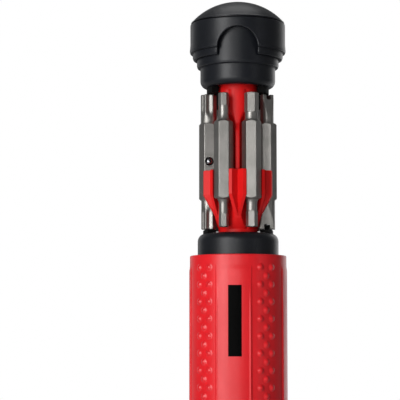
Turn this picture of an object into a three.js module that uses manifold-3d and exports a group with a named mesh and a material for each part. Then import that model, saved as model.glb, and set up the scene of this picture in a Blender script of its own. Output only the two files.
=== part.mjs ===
// Multi-bit screwdriver with a pull-out bit cartridge and a turning palm cap.
// Millimetres. +Z runs along the tool from its tip to the palm cap, and the front faces -Y.
// The origin is on the tool's axis, at the middle of the grip. The cartridge is drawn out.

import * as THREE from 'three';
import { mergeVertices } from 'three/addons/utils/BufferGeometryUtils.js';
import Module from 'manifold-3d';

const wasm = await Module();
wasm.setup();

// Bits: double-ended, with a hexagonal body
const bitAcrossFlats = 6.35;
const bitBodyLength = 28.8;
const bitBodyChamfer = 0.55;
const starEndLength = 11;
const spannerEndLength = 11;
const hexEndLength = 10.55;
const pinHoleRadius = 0.75;
const pinHoleDepth = 2.5;
const starValley = 0.72;
const hexNeckStep = 0.1;
const hexNeckLap = 0.2;
const hexNeckFlare = 2.6;
const spannerTipThickness = 2.2;
const spannerFacetLength = 8.5;
const spannerNotchDepth = 2;

// Detent ball and its spring in the side of each bit
const ballRadius = 1.5;
const ballShow = 0.5;
const ballTravel = 0.8;
const ballClearance = 0.1;
const ballPocketDepth = 5.2;
const springRadius = 1.2;
const springBoreRadius = 0.7;

// Handle
const gripRadius = 18;
const gripWall = 1.5;
const gripEdge = 0.4;
const lipReach = 0.8;
const lipHeight = 3;
const panelRise = 0.25;
const panelHalfWidth = 6.5;
const panelTopDrop = 4.8;
const panelConeReach = 7;
const panelTurn = -5.5;
const panelCount = 4;
const coneLength = 13;
const coneEndRadius = 12;
const neckRadius = 9.2;
const neckDrop = 4.8;
const flareLength = 3.9;
const noseRadius = 10.85;
const noseLength = 6;
const noseEdge = 0.6;
const floorToCone = 1;
const floorThickness = 3;

// Shaft and its collar
const shaftRadius = 9.525 / 2;
const shaftShow = 95;
const shaftEdge = 0.5;
const anchorAcrossFlats = 13;
const anchorLength = 12;
const socketSpare = 6.6;
const socketMouth = 0.4;
const bitSeat = 6;
const collarLength = 22.8;
const collarTopRadius = 10.45;
const collarWaistRadius = 10.3;
const collarWaistDrop = 11;
const collarEndRadius = 8.4;
const collarEndRound = 1.8;
const collarFlatDistance = 9.2;
const collarFlatDrop = 3;
const collarFlatCount = 4;
const collarFlatTurn = 20;

// Cartridge: guide ring and bit carrier
const bitSpacing = 56;
const bitTurn = -0.6;
const bitEndGap = 1.45;
const bitHeadGap = 2.55;
const guideShow = 8.35;
const guideRound = 3;
const guideWall = 2.5;
const guideWeb = 3;
const flangeHeight = 2.7;
const guideSkirt = 4;
const padInset = 2;
const padWidth = 3.6;
const padHalfAngle = 30;
const postHalfAngle = 8;
const postRise = 2.4;
const clipTopDrop = 3.65;
const clipLength = 9.3;
const clipBaseHeight = 1.6;
const grooveDepth = 2.3;
const grooveHalfAngle = 46;
const grooveRunOut = 2.2;
const ribWidth = 1.9;
const ribReach = 1.3;
const ribFlareRound = 7.5;
const ribFlareWidth = 8.4;
const ribFlareDrop = 2;
const stemRadius = 2.4;
const trumpetRound = 7;
const trumpetRim = 3.4;
const footSpigotRadius = 6;
const headSpigotRadius = 5;
const headSpigotLength = 4;

// Palm cap
const coreSkirtHeight = 7.5;
const coreSkirtStep = 1.3;
const coreSkirtRound = 3;
const coreRecessDepth = 2.4;
const coreCheekReach = 0.6;
const coreCheekDepth = 2.7;
const coreCheekHalfAngle = 35;
const coreCheekPost = 5;
const coreRimHeight = 3.1;
const coreRimEdge = 0.8;
const capStepHeight = 2.5;
const capStepInset = 1;
const capStepEdge = 0.9;
const capWallHeight = 11;
const capWallInset = 0.1;
const capLipFlare = 0.2;
const capLipHeight = 1.6;
const capLipEdge = 0.5;
const capSeam = 0.3;
const capRecess = 1.2;
const capDeck = 1.5;
const domeRound = 23.3;
const domeEdge = 0.25;
const notchRadius = 7.6;
const notchHeight = 10;
const notchCount = 2;
const hubRadius = 4;
const hubProud = 0.2;
const washerRadius = 6;
const washerThickness = 0.6;
const screwRadius = 1.5;
const screwLength = 9;
const screwHeadRadius = 3.2;
const screwHeadHeight = 2;
const driveRadius = 1.2;
const driveDepth = 1;

// Clearances
const faceGap = 0.1;
const fitClearance = 0.1;
const runClearance = 0.3;
const pocketClearance = 0.3;
const cheekClearance = 0.15;
const padClearance = 0.3;
const guideClearance = 0.6;
const bitRunClearance = 1.03;
const clipClearance = 1.8;
const closedGap = 0.2;
const floorClearance = 1.1;
const headClearance = 0.5;

// Facets of round faces
const roundSegments = 36;
const shaftSegments = 24;
const ballSegments = 12;
const ballRings = 8;
const holeSegments = 12;
const starSegments = 24;
const arcSteps = 4;

// Radii that follow from the sizes above
const bitApothem = bitAcrossFlats / 2;
const bitCornerRadius = bitApothem / Math.cos(Math.PI / 6);
const boreRadius = gripRadius - gripWall;
const lipRadius = boreRadius - lipReach;
const bitCircleRadius = lipRadius - bitRunClearance - bitCornerRadius;
const guideRadius = lipRadius - guideClearance;
const flangeRadius = boreRadius - runClearance;
const clipRadius = lipRadius - clipClearance;
const pocketFloorRadius = bitCircleRadius - bitCornerRadius - pocketClearance;
const pocketHalfWidth = bitApothem + pocketClearance;
const trumpetRadius = bitCircleRadius - bitCornerRadius;
const coreRadius = lipRadius - runClearance;
const skirtRadius = coreRadius - coreSkirtStep;
const shellBoreRadius = coreRadius + runClearance;
const capStepRadius = gripRadius - capStepInset;
const capWallRadius = gripRadius - capWallInset;
const socketAcrossFlats = bitAcrossFlats + 2 * fitClearance;

// Angles of the posts that stand between the outer and the back bits
const postFrom = 2 * bitSpacing - postHalfAngle;
const postTo = 2 * bitSpacing + postHalfAngle;

// Heights in the cartridge, from the top face of its guide ring
const bitLength = bitBodyLength + 2 * Math.max(starEndLength, spannerEndLength, hexEndLength);
const bitMiddle = bitEndGap + bitLength / 2;
const clipTop = bitMiddle - clipTopDrop;
const clipBottom = clipTop - clipLength;
const coreUnder = bitEndGap + bitLength + bitHeadGap;
const coreCeiling = coreUnder + coreRecessDepth;
const cheekUnder = bitEndGap + bitLength + cheekClearance;
const coreRimBottom = coreUnder + coreSkirtHeight;
const capSeat = coreRimBottom + coreRimHeight;
const capWallBottom = capSeat + capStepHeight;
const shellTop = capWallBottom + capWallHeight;
const deckTop = shellTop - capRecess;
const deckUnder = deckTop - capDeck;
const coreTop = deckUnder - runClearance;
const hubTop = deckTop + hubProud;
const washerUnder = hubTop + faceGap;
const headUnder = washerUnder + washerThickness + faceGap;
const headTop = headUnder + screwHeadHeight;
const domeRim = shellTop + capSeam;
const flangeTop = -(guideShow + lipHeight + runClearance);
const guideBottom = flangeTop - flangeHeight - guideSkirt;

// Heights along the tool
const cartridgeTravel = guideShow + capSeat - closedGap;
const boreDepth = cartridgeTravel - guideShow - guideBottom + floorClearance;
const gripLength = boreDepth + floorToCone;
const handleTop = gripLength / 2;
const coneTop = handleTop - gripLength;
const boreFloor = handleTop - boreDepth;
const coneBottom = coneTop - coneLength;
const neckHeight = coneBottom - neckDrop;
const noseTop = neckHeight - flareLength;
const noseBottom = noseTop - noseLength;
const anchorTop = boreFloor - floorThickness;
const anchorBottom = anchorTop - anchorLength;
const collarTop = noseBottom - faceGap;
const collarBottom = collarTop - collarLength;
const shaftEnd = collarBottom - shaftShow;
const socketDepth = bitSeat + bitLength / 2 + socketSpare;
const beyond = gripRadius;

// The six stored bits in order around the cartridge, and the bit in the shaft.
// An angle is measured from the front, positive towards +X.
const storedBits = [
  { name: 'star_bit_large', ballSide: 1, upper: star(6, 7.4), lower: star(5.6, 7.4) },
  { name: 'hex_bit_small', ballSide: -1, upper: hexKey(3.45, 4.8), lower: hexKey(3.2, 5) },
  { name: 'hex_bit_large', ballSide: 1, upper: hexKey(4.7, 7.4), lower: hexKey(3.8, 6) },
  { name: 'spanner_bit_large', ballSide: 1, upper: spanner(2.5, 1.9, 37), lower: spanner(2.9, 2.3, 0) },
  { name: 'star_bit_small', ballSide: 1, upper: star(4.4, 6), lower: star(3.9, 6) },
  { name: 'spanner_bit_small', ballSide: 1, upper: spanner(2.3, 1.6, 0), lower: spanner(2.1, 1.3, 0) },
];
const bitAngles = [-1.5, -0.5, 0.5, 1.5, 2.5].map((step) => step * bitSpacing).concat(360 - 2.5 * bitSpacing);
const pocketAngles = bitAngles.map((angle) => angle + bitTurn);
const clipAngles = pocketAngles.map((angle, place) => {
  const next = place + 1 < pocketAngles.length ? pocketAngles[place + 1] : pocketAngles[0] + 360;
  return (angle + next) / 2;
});
const fittedBit = { name: 'fitted_star_bit', ballSide: 1, upper: star(5, 7), lower: star(4.6, 7) };

// Finishes
const redPlastic = { color: 0xd8202c, roughness: 0.4, metalness: 0 };
const blackPlastic = { color: 0x26272a, roughness: 0.5, metalness: 0 };
const blackSteel = { color: 0x0c0c0e, roughness: 0.2, metalness: 0.6 };
const bitSteel = { color: 0x77777a, roughness: 0.4, metalness: 0.9 };
const brightSteel = { color: 0xb9babd, roughness: 0.25, metalness: 1 };

// A closed geometry as a solid: shared corners are merged and its faces turned outwards.
function solid(geometry) {
  geometry.deleteAttribute('normal');
  geometry.deleteAttribute('uv');
  const merged = mergeVertices(geometry, 1e-4);
  const corners = merged.getAttribute('position').array;
  const triangles = [];
  for (let first = 0; first < merged.index.count; first += 3) {
    const [a, b, c] = merged.index.array.slice(first, first + 3);
    if (a !== b && b !== c && c !== a) triangles.push(a, b, c);
  }
  if (signedVolume(corners, triangles) < 0) triangles.reverse();
  const triVerts = Uint32Array.from(triangles);
  return new wasm.Manifold(new wasm.Mesh({ numProp: 3, vertProperties: corners, triVerts }));
}

// Sum of the tetrahedra between the origin and each face: positive where faces point outwards.
function signedVolume(corners, triangles) {
  const corner = (index) => new THREE.Vector3().fromArray(corners, 3 * index);
  let volume = 0;
  for (let first = 0; first < triangles.length; first += 3) {
    const [a, b, c] = triangles.slice(first, first + 3).map(corner);
    volume += a.dot(b.cross(c)) / 6;
  }
  return volume;
}

function piece(name, body, finish) {
  const { vertProperties, triVerts } = body.getMesh();
  const geometry = new THREE.BufferGeometry();
  geometry.setAttribute('position', new THREE.BufferAttribute(vertProperties, 3));
  geometry.setIndex(new THREE.BufferAttribute(triVerts, 1));
  const mesh = new THREE.Mesh(geometry, new THREE.MeshStandardMaterial({ ...finish, flatShading: true }));
  mesh.name = name;
  return mesh;
}

// A profile of [radius, height] points turned about Z.
function turned(profile, segments = roundSegments) {
  const points = profile.map(([radius, height]) => new THREE.Vector2(radius, height));
  return solid(new THREE.LatheGeometry(points, segments).rotateX(Math.PI / 2));
}

// A ring: the same, with the profile closed on itself.
function turnedRing(profile, segments = roundSegments) {
  return turned([...profile, profile[0]], segments);
}

// A flat outline pushed along Z.
function prism(outline, bottom, top) {
  const options = { depth: top - bottom, bevelEnabled: false, curveSegments: 2 * arcSteps };
  return solid(new THREE.ExtrudeGeometry(outline, options).translate(0, 0, bottom));
}

// A flat outline in X and Z pushed along -Y, from one distance in front of the axis to another.
function frontPrism(outline, near, far) {
  const options = { depth: far - near, bevelEnabled: false, curveSegments: 2 * arcSteps };
  const geometry = new THREE.ExtrudeGeometry(outline, options).translate(0, 0, near);
  return solid(geometry.rotateX(Math.PI / 2));
}

// Points of an arc about a centre, by angles in degrees from the first axis.
function arc(centre, radius, from, to, steps = arcSteps) {
  return Array.from({ length: steps + 1 }, (_, step) => {
    const angle = THREE.MathUtils.degToRad(from + ((to - from) * step) / steps);
    return [centre[0] + radius * Math.cos(angle), centre[1] + radius * Math.sin(angle)];
  });
}

function outlineOf(points) {
  return new THREE.Shape(points.map(([x, y]) => new THREE.Vector2(x, y)));
}

function rectangle(left, right, bottom, top) {
  return outlineOf([[left, bottom], [right, bottom], [right, top], [left, top]]);
}

function circle(radius, segments) {
  return outlineOf(arc([0, 0], radius, 0, 360, segments).slice(0, segments));
}

// A hexagon with a corner on +X.
function hexagon(acrossFlats) {
  return circle(acrossFlats / 2 / Math.cos(Math.PI / 6), 6);
}

// Copies of a solid turned about Z, evenly spaced from a first angle.
function aroundAxis(body, count, firstAngle = 0) {
  return Array.from({ length: count }, (_, copy) => body.rotate([0, 0, firstAngle + (360 * copy) / count]));
}

// Sectors of a ring about Z on both sides, between two angles from the front.
function sidePair(inner, outer, from, to, bottom, top) {
  return [from, -to].map((start) => {
    const end = start + to - from;
    const outline = outlineOf([
      ...arc([0, 0], outer, start - 90, end - 90, 2 * arcSteps),
      ...arc([0, 0], inner, end - 90, start - 90, 2 * arcSteps),
    ]);
    return prism(outline, bottom, top);
  });
}

// Copies of a solid turned about Z to each of some angles.
function atAngles(body, angles) {
  return angles.map((angle) => body.rotate([0, 0, angle]));
}

function cutAll(body, tools) {
  return tools.reduce((rest, tool) => rest.subtract(tool), body);
}

function joinAll(body, additions) {
  return additions.reduce((whole, addition) => whole.add(addition), body);
}

// The handle's outside, from the nose up to the rim, set off by a distance.
function handleOutline(offset) {
  const neck = new THREE.SplineCurve([
    new THREE.Vector2(noseRadius, noseTop),
    new THREE.Vector2(neckRadius, neckHeight),
    new THREE.Vector2(coneEndRadius, coneBottom),
  ]);
  const neckPoints = neck.getPoints(2 * arcSteps).map((point) => [point.x + offset, point.y]);
  return [
    [0, noseBottom],
    [noseRadius - noseEdge + offset, noseBottom],
    [noseRadius + offset, noseBottom + noseEdge],
    ...neckPoints,
    [gripRadius + offset, coneTop],
    [gripRadius + offset, handleTop - gripEdge],
    [gripRadius - gripEdge + offset, handleTop],
    [0, handleTop],
  ];
}

function makeHandle() {
  const panelTop = handleTop - panelTopDrop;
  const panelEnd = coneTop - panelConeReach + panelHalfWidth;
  const panelOutline = outlineOf([
    [panelHalfWidth, panelTop],
    [-panelHalfWidth, panelTop],
    ...arc([0, panelEnd], panelHalfWidth, 180, 360, 2 * arcSteps),
  ]);
  const panel = frontPrism(panelOutline, stemRadius, beyond + gripRadius);
  const panels = aroundAxis(panel, panelCount, panelTurn);
  const raised = turned(handleOutline(panelRise));
  const bore = turned([
    [0, boreFloor],
    [boreRadius, boreFloor],
    [boreRadius, handleTop - lipHeight],
    [lipRadius, handleTop - lipHeight],
    [lipRadius, handleTop + beyond],
    [0, handleTop + beyond],
  ]);
  const anchorHole = prism(hexagon(anchorAcrossFlats + 2 * fitClearance), anchorBottom - fitClearance,
    anchorTop + fitClearance);
  const shaftHole = prism(circle(shaftRadius + fitClearance, shaftSegments), noseBottom - beyond, anchorTop);
  const outside = joinAll(turned(handleOutline(0)), panels.map((tongue) => tongue.intersect(raised)));
  return cutAll(outside, [bore, anchorHole, shaftHole]);
}

function makeShaft() {
  const bar = turned([
    [0, shaftEnd],
    [shaftRadius - shaftEdge, shaftEnd],
    [shaftRadius, shaftEnd + shaftEdge],
    [shaftRadius, anchorTop],
    [0, anchorTop],
  ], shaftSegments);
  const anchor = prism(hexagon(anchorAcrossFlats), anchorBottom, anchorTop);
  const socket = prism(hexagon(socketAcrossFlats), shaftEnd - beyond, shaftEnd + socketDepth);
  const mouthRadius = socketAcrossFlats / 2 + socketMouth;
  const mouth = turned([
    [0, shaftEnd - socketMouth],
    [mouthRadius + socketMouth, shaftEnd - socketMouth],
    [mouthRadius - socketMouth, shaftEnd + socketMouth],
    [0, shaftEnd + socketMouth],
  ], shaftSegments);
  return cutAll(bar.add(anchor), [socket, mouth]);
}

function makeShaftCollar() {
  const sleeve = turnedRing([
    [shaftRadius + fitClearance, collarTop],
    [shaftRadius + fitClearance, collarBottom],
    ...arc([collarEndRadius - collarEndRound, collarBottom + collarEndRound], collarEndRound, -90, 0),
    [collarWaistRadius, collarTop - collarWaistDrop],
    [collarTopRadius, collarTop],
  ]);
  const cutter = frontPrism(
    rectangle(-beyond, beyond, collarBottom - beyond, collarTop - collarFlatDrop),
    collarFlatDistance,
    collarFlatDistance + beyond,
  );
  return cutAll(sleeve, aroundAxis(cutter, collarFlatCount, collarFlatTurn));
}

function makeGuideRing() {
  const innerRadius = guideRadius - guideWall;
  const holeRadius = footSpigotRadius + fitClearance;
  const ring = turnedRing([
    [holeRadius, -guideWeb],
    [innerRadius, -guideWeb],
    [innerRadius, guideBottom],
    [guideRadius, guideBottom],
    [guideRadius, guideBottom + guideSkirt],
    [flangeRadius, guideBottom + guideSkirt],
    [flangeRadius, flangeTop],
    [guideRadius, flangeTop],
    ...arc([guideRadius - guideRound, -guideRound], guideRound, 0, 90),
    [holeRadius, 0],
  ]);
  // Two pads stand at the sides, just clear of the bits' ends, each with a post between bits.
  const outer = guideRadius - padInset;
  const inner = outer - padWidth;
  const padTop = bitEndGap - padClearance;
  const pads = sidePair(inner, outer, 90 - padHalfAngle, 90 + padHalfAngle, -guideWeb / 2, padTop);
  const posts = sidePair(inner, outer, postFrom, postTo, -guideWeb / 2, padTop + postRise);
  return joinAll(ring, [...pads, ...posts]);
}

// One groove in the outside of a clip: upright along the clip, then sloping out of the cone above its foot.
function makeClipGroove() {
  const grooveFloor = clipRadius - grooveDepth;
  const rise = clipBottom - clipBaseHeight;
  const runOut = Math.min(grooveRunOut, rise / 2);
  const endRadius = trumpetRadius + ((clipRadius - trumpetRadius) * runOut) / rise;
  const lean = Math.atan2(grooveFloor - endRadius, rise - runOut);
  const opening = beyond * Math.tan(THREE.MathUtils.degToRad(grooveHalfAngle));
  const wedge = outlineOf([[0, 0], [-opening, -beyond], [opening, -beyond]]);
  const upright = prism(wedge, 0, clipLength + beyond).translate([0, -grooveFloor, clipBottom]);
  const sloping = prism(wedge, -2 * rise, 2 * rise).rotate([THREE.MathUtils.radToDeg(lean), 0, 0]);
  return upright.add(sloping.translate([0, -grooveFloor, clipBottom]));
}

function makeBitCarrier() {
  const clips = turned([
    [0, faceGap],
    [trumpetRadius, faceGap],
    [trumpetRadius, clipBaseHeight],
    [clipRadius, clipBottom],
    [clipRadius, clipTop],
    [0, clipTop],
  ]);
  const pocketShoulder = pocketFloorRadius + pocketHalfWidth * Math.tan(Math.PI / 6);
  const pocketOutline = outlineOf([
    [0, -pocketFloorRadius],
    [-pocketHalfWidth, -pocketShoulder],
    [-pocketHalfWidth, -beyond - clipRadius],
    [pocketHalfWidth, -beyond - clipRadius],
    [pocketHalfWidth, -pocketShoulder],
  ]);
  const pocket = prism(pocketOutline, -beyond, clipTop + beyond);
  const lower = cutAll(clips, [
    ...atAngles(pocket, pocketAngles),
    ...atAngles(makeClipGroove(), clipAngles),
  ]);

  const headUnderside = coreCeiling - faceGap;
  const rimBottom = headUnderside - trumpetRim;
  const reach = trumpetRadius - stemRadius;
  const sweep = THREE.MathUtils.radToDeg(Math.acos(1 - Math.min(reach / trumpetRound, 1)));
  const drop = trumpetRound * Math.sin(THREE.MathUtils.degToRad(sweep));
  const stem = turned([
    [0, -guideWeb],
    [footSpigotRadius, -guideWeb],
    [footSpigotRadius, clipBaseHeight],
    [stemRadius, clipBaseHeight],
    ...arc([stemRadius + trumpetRound, rimBottom - drop], trumpetRound, 180, 180 - sweep, 2 * arcSteps),
    [trumpetRadius, headUnderside],
    [headSpigotRadius, headUnderside],
    [headSpigotRadius, coreCeiling + headSpigotLength],
    [0, coreCeiling + headSpigotLength],
  ]);

  // A rib is straight beside the bits' bodies and flares out beside their slimmer upper ends.
  const flareFoot = bitMiddle + bitBodyLength / 2 - ribFlareDrop;
  const flareOut = Math.max(ribFlareWidth - ribWidth, 0) / 2;
  const flareSweep = THREE.MathUtils.radToDeg(Math.acos(1 - Math.min(flareOut / ribFlareRound, 1)));
  const side = ribWidth / 2 + ribFlareRound;
  const ribOutline = outlineOf([
    [-ribWidth / 2, clipBaseHeight],
    [ribWidth / 2, clipBaseHeight],
    ...arc([side, flareFoot], ribFlareRound, 180, 180 - flareSweep),
    [ribWidth / 2 + flareOut, headUnderside],
    [-ribWidth / 2 - flareOut, headUnderside],
    ...arc([-side, flareFoot], ribFlareRound, flareSweep, 0),
  ]);
  const ribs = atAngles(frontPrism(ribOutline, 0, clipRadius), clipAngles);
  const ribEnvelope = turned([
    [0, clipBaseHeight],
    [trumpetRadius + ribReach, clipTop],
    [trumpetRadius + ribReach, flareFoot - ribReach],
    [trumpetRadius, flareFoot + ribReach],
    [trumpetRadius, rimBottom + trumpetRim / 2],
    [0, rimBottom + trumpetRim / 2],
  ]);
  return joinAll(lower.add(stem), ribs.map((rib) => rib.intersect(ribEnvelope)));
}

function makeCapCore() {
  const spigotHole = headSpigotRadius + fitClearance;
  const spigotCeiling = coreCeiling + headSpigotLength + fitClearance;
  const screwHole = screwRadius + fitClearance;
  const screwFloor = headUnder - screwLength - fitClearance;
  const recessRadius = skirtRadius - coreSkirtRound;
  const body = turned([
    [0, spigotCeiling],
    [spigotHole, spigotCeiling],
    [spigotHole, coreCeiling],
    [recessRadius, coreCeiling],
    ...arc([skirtRadius - coreSkirtRound, coreUnder + coreSkirtRound], coreSkirtRound, -90, 0),
    [skirtRadius, coreRimBottom],
    [coreRadius - coreRimEdge, coreRimBottom],
    [coreRadius, coreRimBottom + coreRimEdge],
    [coreRadius, coreTop],
    [hubRadius, coreTop],
    [hubRadius, hubTop],
    [screwHole, hubTop],
    [screwHole, screwFloor],
    [0, screwFloor],
  ]);

  // Two cheeks hang from the recess at the sides, clear of the bits' ends, each with a post between bits.
  const outer = recessRadius + coreCheekReach;
  const inner = outer - coreCheekDepth;
  const [cheekFrom, cheekTo] = [90 - coreCheekHalfAngle, 90 + coreCheekHalfAngle];
  const cheekTop = coreCeiling + coreCheekReach;
  const cheeks = sidePair(inner, outer, cheekFrom, cheekTo, cheekUnder, cheekTop);
  const posts = sidePair(inner, outer, postFrom, postTo, cheekUnder - coreCheekPost, cheekTop);
  return joinAll(body, [...cheeks, ...posts]);
}

function makeCapShell() {
  const recessRadius = capWallRadius - gripWall;
  const shell = turnedRing([
    [shellBoreRadius, capSeat],
    [capStepRadius - capStepEdge, capSeat],
    [capStepRadius, capSeat + capStepEdge],
    [capStepRadius, capWallBottom],
    [capWallRadius + capLipFlare - capLipEdge, capWallBottom],
    [capWallRadius + capLipFlare, capWallBottom + capLipEdge],
    [capWallRadius, capWallBottom + capLipHeight],
    [capWallRadius, shellTop],
    [recessRadius, shellTop],
    [recessRadius, deckTop],
    [hubRadius + runClearance, deckTop],
    [hubRadius + runClearance, deckUnder],
    [shellBoreRadius, deckUnder],
  ]);
  const notchOutline = outlineOf([
    [-notchRadius, capSeat - beyond],
    [notchRadius, capSeat - beyond],
    ...arc([0, capSeat + notchHeight - notchRadius], notchRadius, 0, 180, 2 * arcSteps),
  ]);
  const notch = frontPrism(notchOutline, hubRadius + washerRadius, beyond + gripRadius);
  return cutAll(shell, aroundAxis(notch, notchCount));
}

function makeCapDome() {
  const spigotRadius = capWallRadius - gripWall - fitClearance;
  const rimRadius = capWallRadius - domeEdge;
  const edgeAngle = THREE.MathUtils.radToDeg(Math.acos(rimRadius / domeRound));
  const centre = [0, domeRim + domeEdge - Math.sqrt(domeRound ** 2 - rimRadius ** 2)];
  const headRoom = washerRadius + runClearance;
  return turned([
    [0, headTop + headClearance],
    [headRoom, headTop + headClearance],
    [headRoom, deckTop + fitClearance],
    [spigotRadius, deckTop + fitClearance],
    [spigotRadius, domeRim],
    [rimRadius, domeRim],
    ...arc(centre, domeRound, edgeAngle, 90, 2 * arcSteps).slice(0, -1),
    [0, centre[1] + domeRound],
  ]);
}

function makeCapWasher() {
  const bore = screwRadius + fitClearance;
  return turnedRing([
    [bore, washerUnder],
    [washerRadius, washerUnder],
    [washerRadius, washerUnder + washerThickness],
    [bore, washerUnder + washerThickness],
  ], shaftSegments);
}

function makeCapPivotScrew() {
  const body = turned([
    [0, headUnder - screwLength],
    [screwRadius, headUnder - screwLength],
    [screwRadius, headUnder],
    [screwHeadRadius, headUnder],
    [screwHeadRadius, headTop],
    [0, headTop],
  ], holeSegments);
  return body.subtract(prism(hexagon(2 * driveRadius), headTop - driveDepth, headTop + driveDepth));
}

// Drive ends, built upwards from the end face of the bit's body. A drive length is the shaped part's.
function star(diameter, driveLength) {
  return () => {
    const radius = diameter / 2;
    const middle = (radius * (1 + starValley)) / 2;
    const swing = (radius * (1 - starValley)) / 2;
    const lobed = Array.from({ length: starSegments }, (_, step) => {
      const angle = (2 * Math.PI * step) / starSegments;
      const reach = middle + swing * Math.cos(6 * angle);
      return [reach * Math.cos(angle), reach * Math.sin(angle)];
    });
    const neckLength = starEndLength - driveLength;
    const neck = prism(circle(radius, holeSegments), -bitBodyChamfer, neckLength);
    return withPinHole(neck.add(prism(outlineOf(lobed), 0, starEndLength)), starEndLength);
  };
}

function hexKey(acrossFlats, driveLength) {
  return () => {
    const neckLength = hexEndLength - driveLength;
    const slimRadius = acrossFlats / 2 + hexNeckStep;
    const flareHeight = Math.min(hexNeckFlare, neckLength / 2);
    const flareReach = Math.max(bitCornerRadius - bitBodyChamfer - slimRadius, hexNeckStep) - hexNeckStep / 2;
    const flare = arc([1, 1], 1, 270, 180).map(([out, up]) => {
      return [slimRadius + flareReach * out, flareHeight * up];
    });
    const neck = turned([
      [0, -bitBodyChamfer],
      [slimRadius + flareReach, -bitBodyChamfer],
      ...flare,
      [slimRadius, neckLength + hexNeckLap],
      [0, neckLength + hexNeckLap],
    ], holeSegments);
    return withPinHole(neck.add(prism(hexagon(acrossFlats), neckLength, hexEndLength)), hexEndLength);
  };
}

function spanner(radius, notchWidth, turn) {
  return () => {
    const round = prism(circle(radius, holeSegments), -bitBodyChamfer, spannerEndLength);
    const facetFoot = spannerEndLength - spannerFacetLength;
    const halfTip = spannerTipThickness / 2;
    const blade = frontPrism(outlineOf([
      [-radius, -beyond],
      [radius, -beyond],
      [radius, facetFoot],
      [halfTip, spannerEndLength],
      [-halfTip, spannerEndLength],
      [-radius, facetFoot],
    ]), -beyond, beyond).rotate([0, 0, 90]);
    const notchFoot = spannerEndLength - spannerNotchDepth;
    const notch = rectangle(-notchWidth / 2, notchWidth / 2, notchFoot, spannerEndLength + beyond);
    return round.intersect(blade).subtract(frontPrism(notch, -beyond, beyond)).rotate([0, 0, turn]);
  };
}

function withPinHole(end, length) {
  const hole = prism(circle(pinHoleRadius, holeSegments), length - pinHoleDepth, length + pinHoleDepth);
  return end.subtract(hole);
}

// Height of a ball's centre above the bit's axis when it stands proud of its flat.
const ballOut = bitApothem + ballShow - ballRadius;
const pocketFloor = bitApothem - ballPocketDepth;

// The ball's pocket, along +Y: a round hole with a rounded mouth that holds the ball in.
function makeBallPocket() {
  const radius = ballRadius + ballClearance;
  const mouth = arc([0, ballOut], radius, 0, 90, ballRings / 2).slice(1, -1);
  const profile = [
    [0, pocketFloor],
    [radius, pocketFloor],
    [radius, ballOut],
    ...mouth,
    [0, ballOut + radius],
  ];
  const points = profile.map(([distance, height]) => new THREE.Vector2(distance, height));
  return solid(new THREE.LatheGeometry(points, ballSegments));
}

// The spring's envelope along +Y, under the ball at the end of its travel.
function makeBallSpring() {
  const bottom = pocketFloor + fitClearance;
  const top = ballOut - ballRadius - ballTravel - fitClearance;
  const points = [
    new THREE.Vector2(springBoreRadius, bottom),
    new THREE.Vector2(springRadius, bottom),
    new THREE.Vector2(springRadius, top),
    new THREE.Vector2(springBoreRadius, top),
  ];
  return solid(new THREE.LatheGeometry([...points, points[0]], ballSegments));
}

function makeBit(bit) {
  const half = bitBodyLength / 2;
  const blankEnd = bitCornerRadius - bitBodyChamfer;
  const blank = turned([
    [0, -half],
    [blankEnd, -half],
    [bitCornerRadius, -half + bitBodyChamfer],
    [bitCornerRadius, half - bitBodyChamfer],
    [blankEnd, half],
    [0, half],
  ], 2 * holeSegments);
  const body = prism(hexagon(bitAcrossFlats), -half, half).intersect(blank);
  const upper = bit.upper().translate([0, 0, half]);
  const lower = bit.lower().rotate([180, 0, 0]).translate([0, 0, -half]);
  return body.add(upper).add(lower).subtract(makeBallPocket());
}

// A bit with its ball and spring, its ball facing +Y, or -Y where its side is negative.
function makeBitGroup(bit, ballDepth) {
  const group = new THREE.Group();
  group.add(piece(bit.name, makeBit(bit), bitSteel));
  const ball = piece(`${bit.name}_ball`, solid(new THREE.SphereGeometry(ballRadius, ballSegments, ballRings)),
    brightSteel);
  ball.position.y = ballOut - ballDepth;
  group.add(ball);
  group.add(piece(`${bit.name}_spring`, makeBallSpring(), brightSteel));
  if (bit.ballSide < 0) group.children.forEach(turnHalf);
  return group;
}

function turnHalf(mesh) {
  mesh.position.y = -mesh.position.y;
  mesh.rotation.z = Math.PI;
}

const tool = new THREE.Group();
tool.add(piece('handle', makeHandle(), redPlastic));
tool.add(piece('shaft', makeShaft(), blackSteel));
tool.add(piece('shaft_collar', makeShaftCollar(), blackPlastic));

const fitted = makeBitGroup(fittedBit, ballShow - fitClearance / 2);
fitted.position.z = shaftEnd + bitSeat;
tool.add(fitted);

const cartridge = new THREE.Group();
cartridge.position.z = handleTop + guideShow;
cartridge.add(piece('guide_ring', makeGuideRing(), blackPlastic));
cartridge.add(piece('bit_carrier', makeBitCarrier(), redPlastic));
cartridge.add(piece('cap_core', makeCapCore(), blackPlastic));
cartridge.add(piece('cap_shell', makeCapShell(), blackPlastic));
cartridge.add(piece('cap_dome', makeCapDome(), blackPlastic));
cartridge.add(piece('cap_washer', makeCapWasher(), brightSteel));
cartridge.add(piece('cap_pivot_screw', makeCapPivotScrew(), brightSteel));

storedBits.forEach((bit, place) => {
  const arm = new THREE.Group();
  arm.rotation.z = THREE.MathUtils.degToRad(pocketAngles[place] - 90);
  const stored = makeBitGroup(bit, 0);
  stored.position.set(bitCircleRadius, 0, bitMiddle);
  arm.add(stored);
  cartridge.add(arm);
});
tool.add(cartridge);

export default tool;
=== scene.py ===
# %% [markdown]
# # A multi-bit screwdriver
# The tool stands upright: palm cap at the top, red grip in the middle, shaft and bit at the bottom. Its cartridge
# of spare bits is drawn out of the grip. The CAD model gives every place and size, and this lesson dresses it:
# each part is worked out again as a fine numpy surface, gets a finish made of shader nodes, and rides on the CAD
# body that it belongs to.

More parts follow.
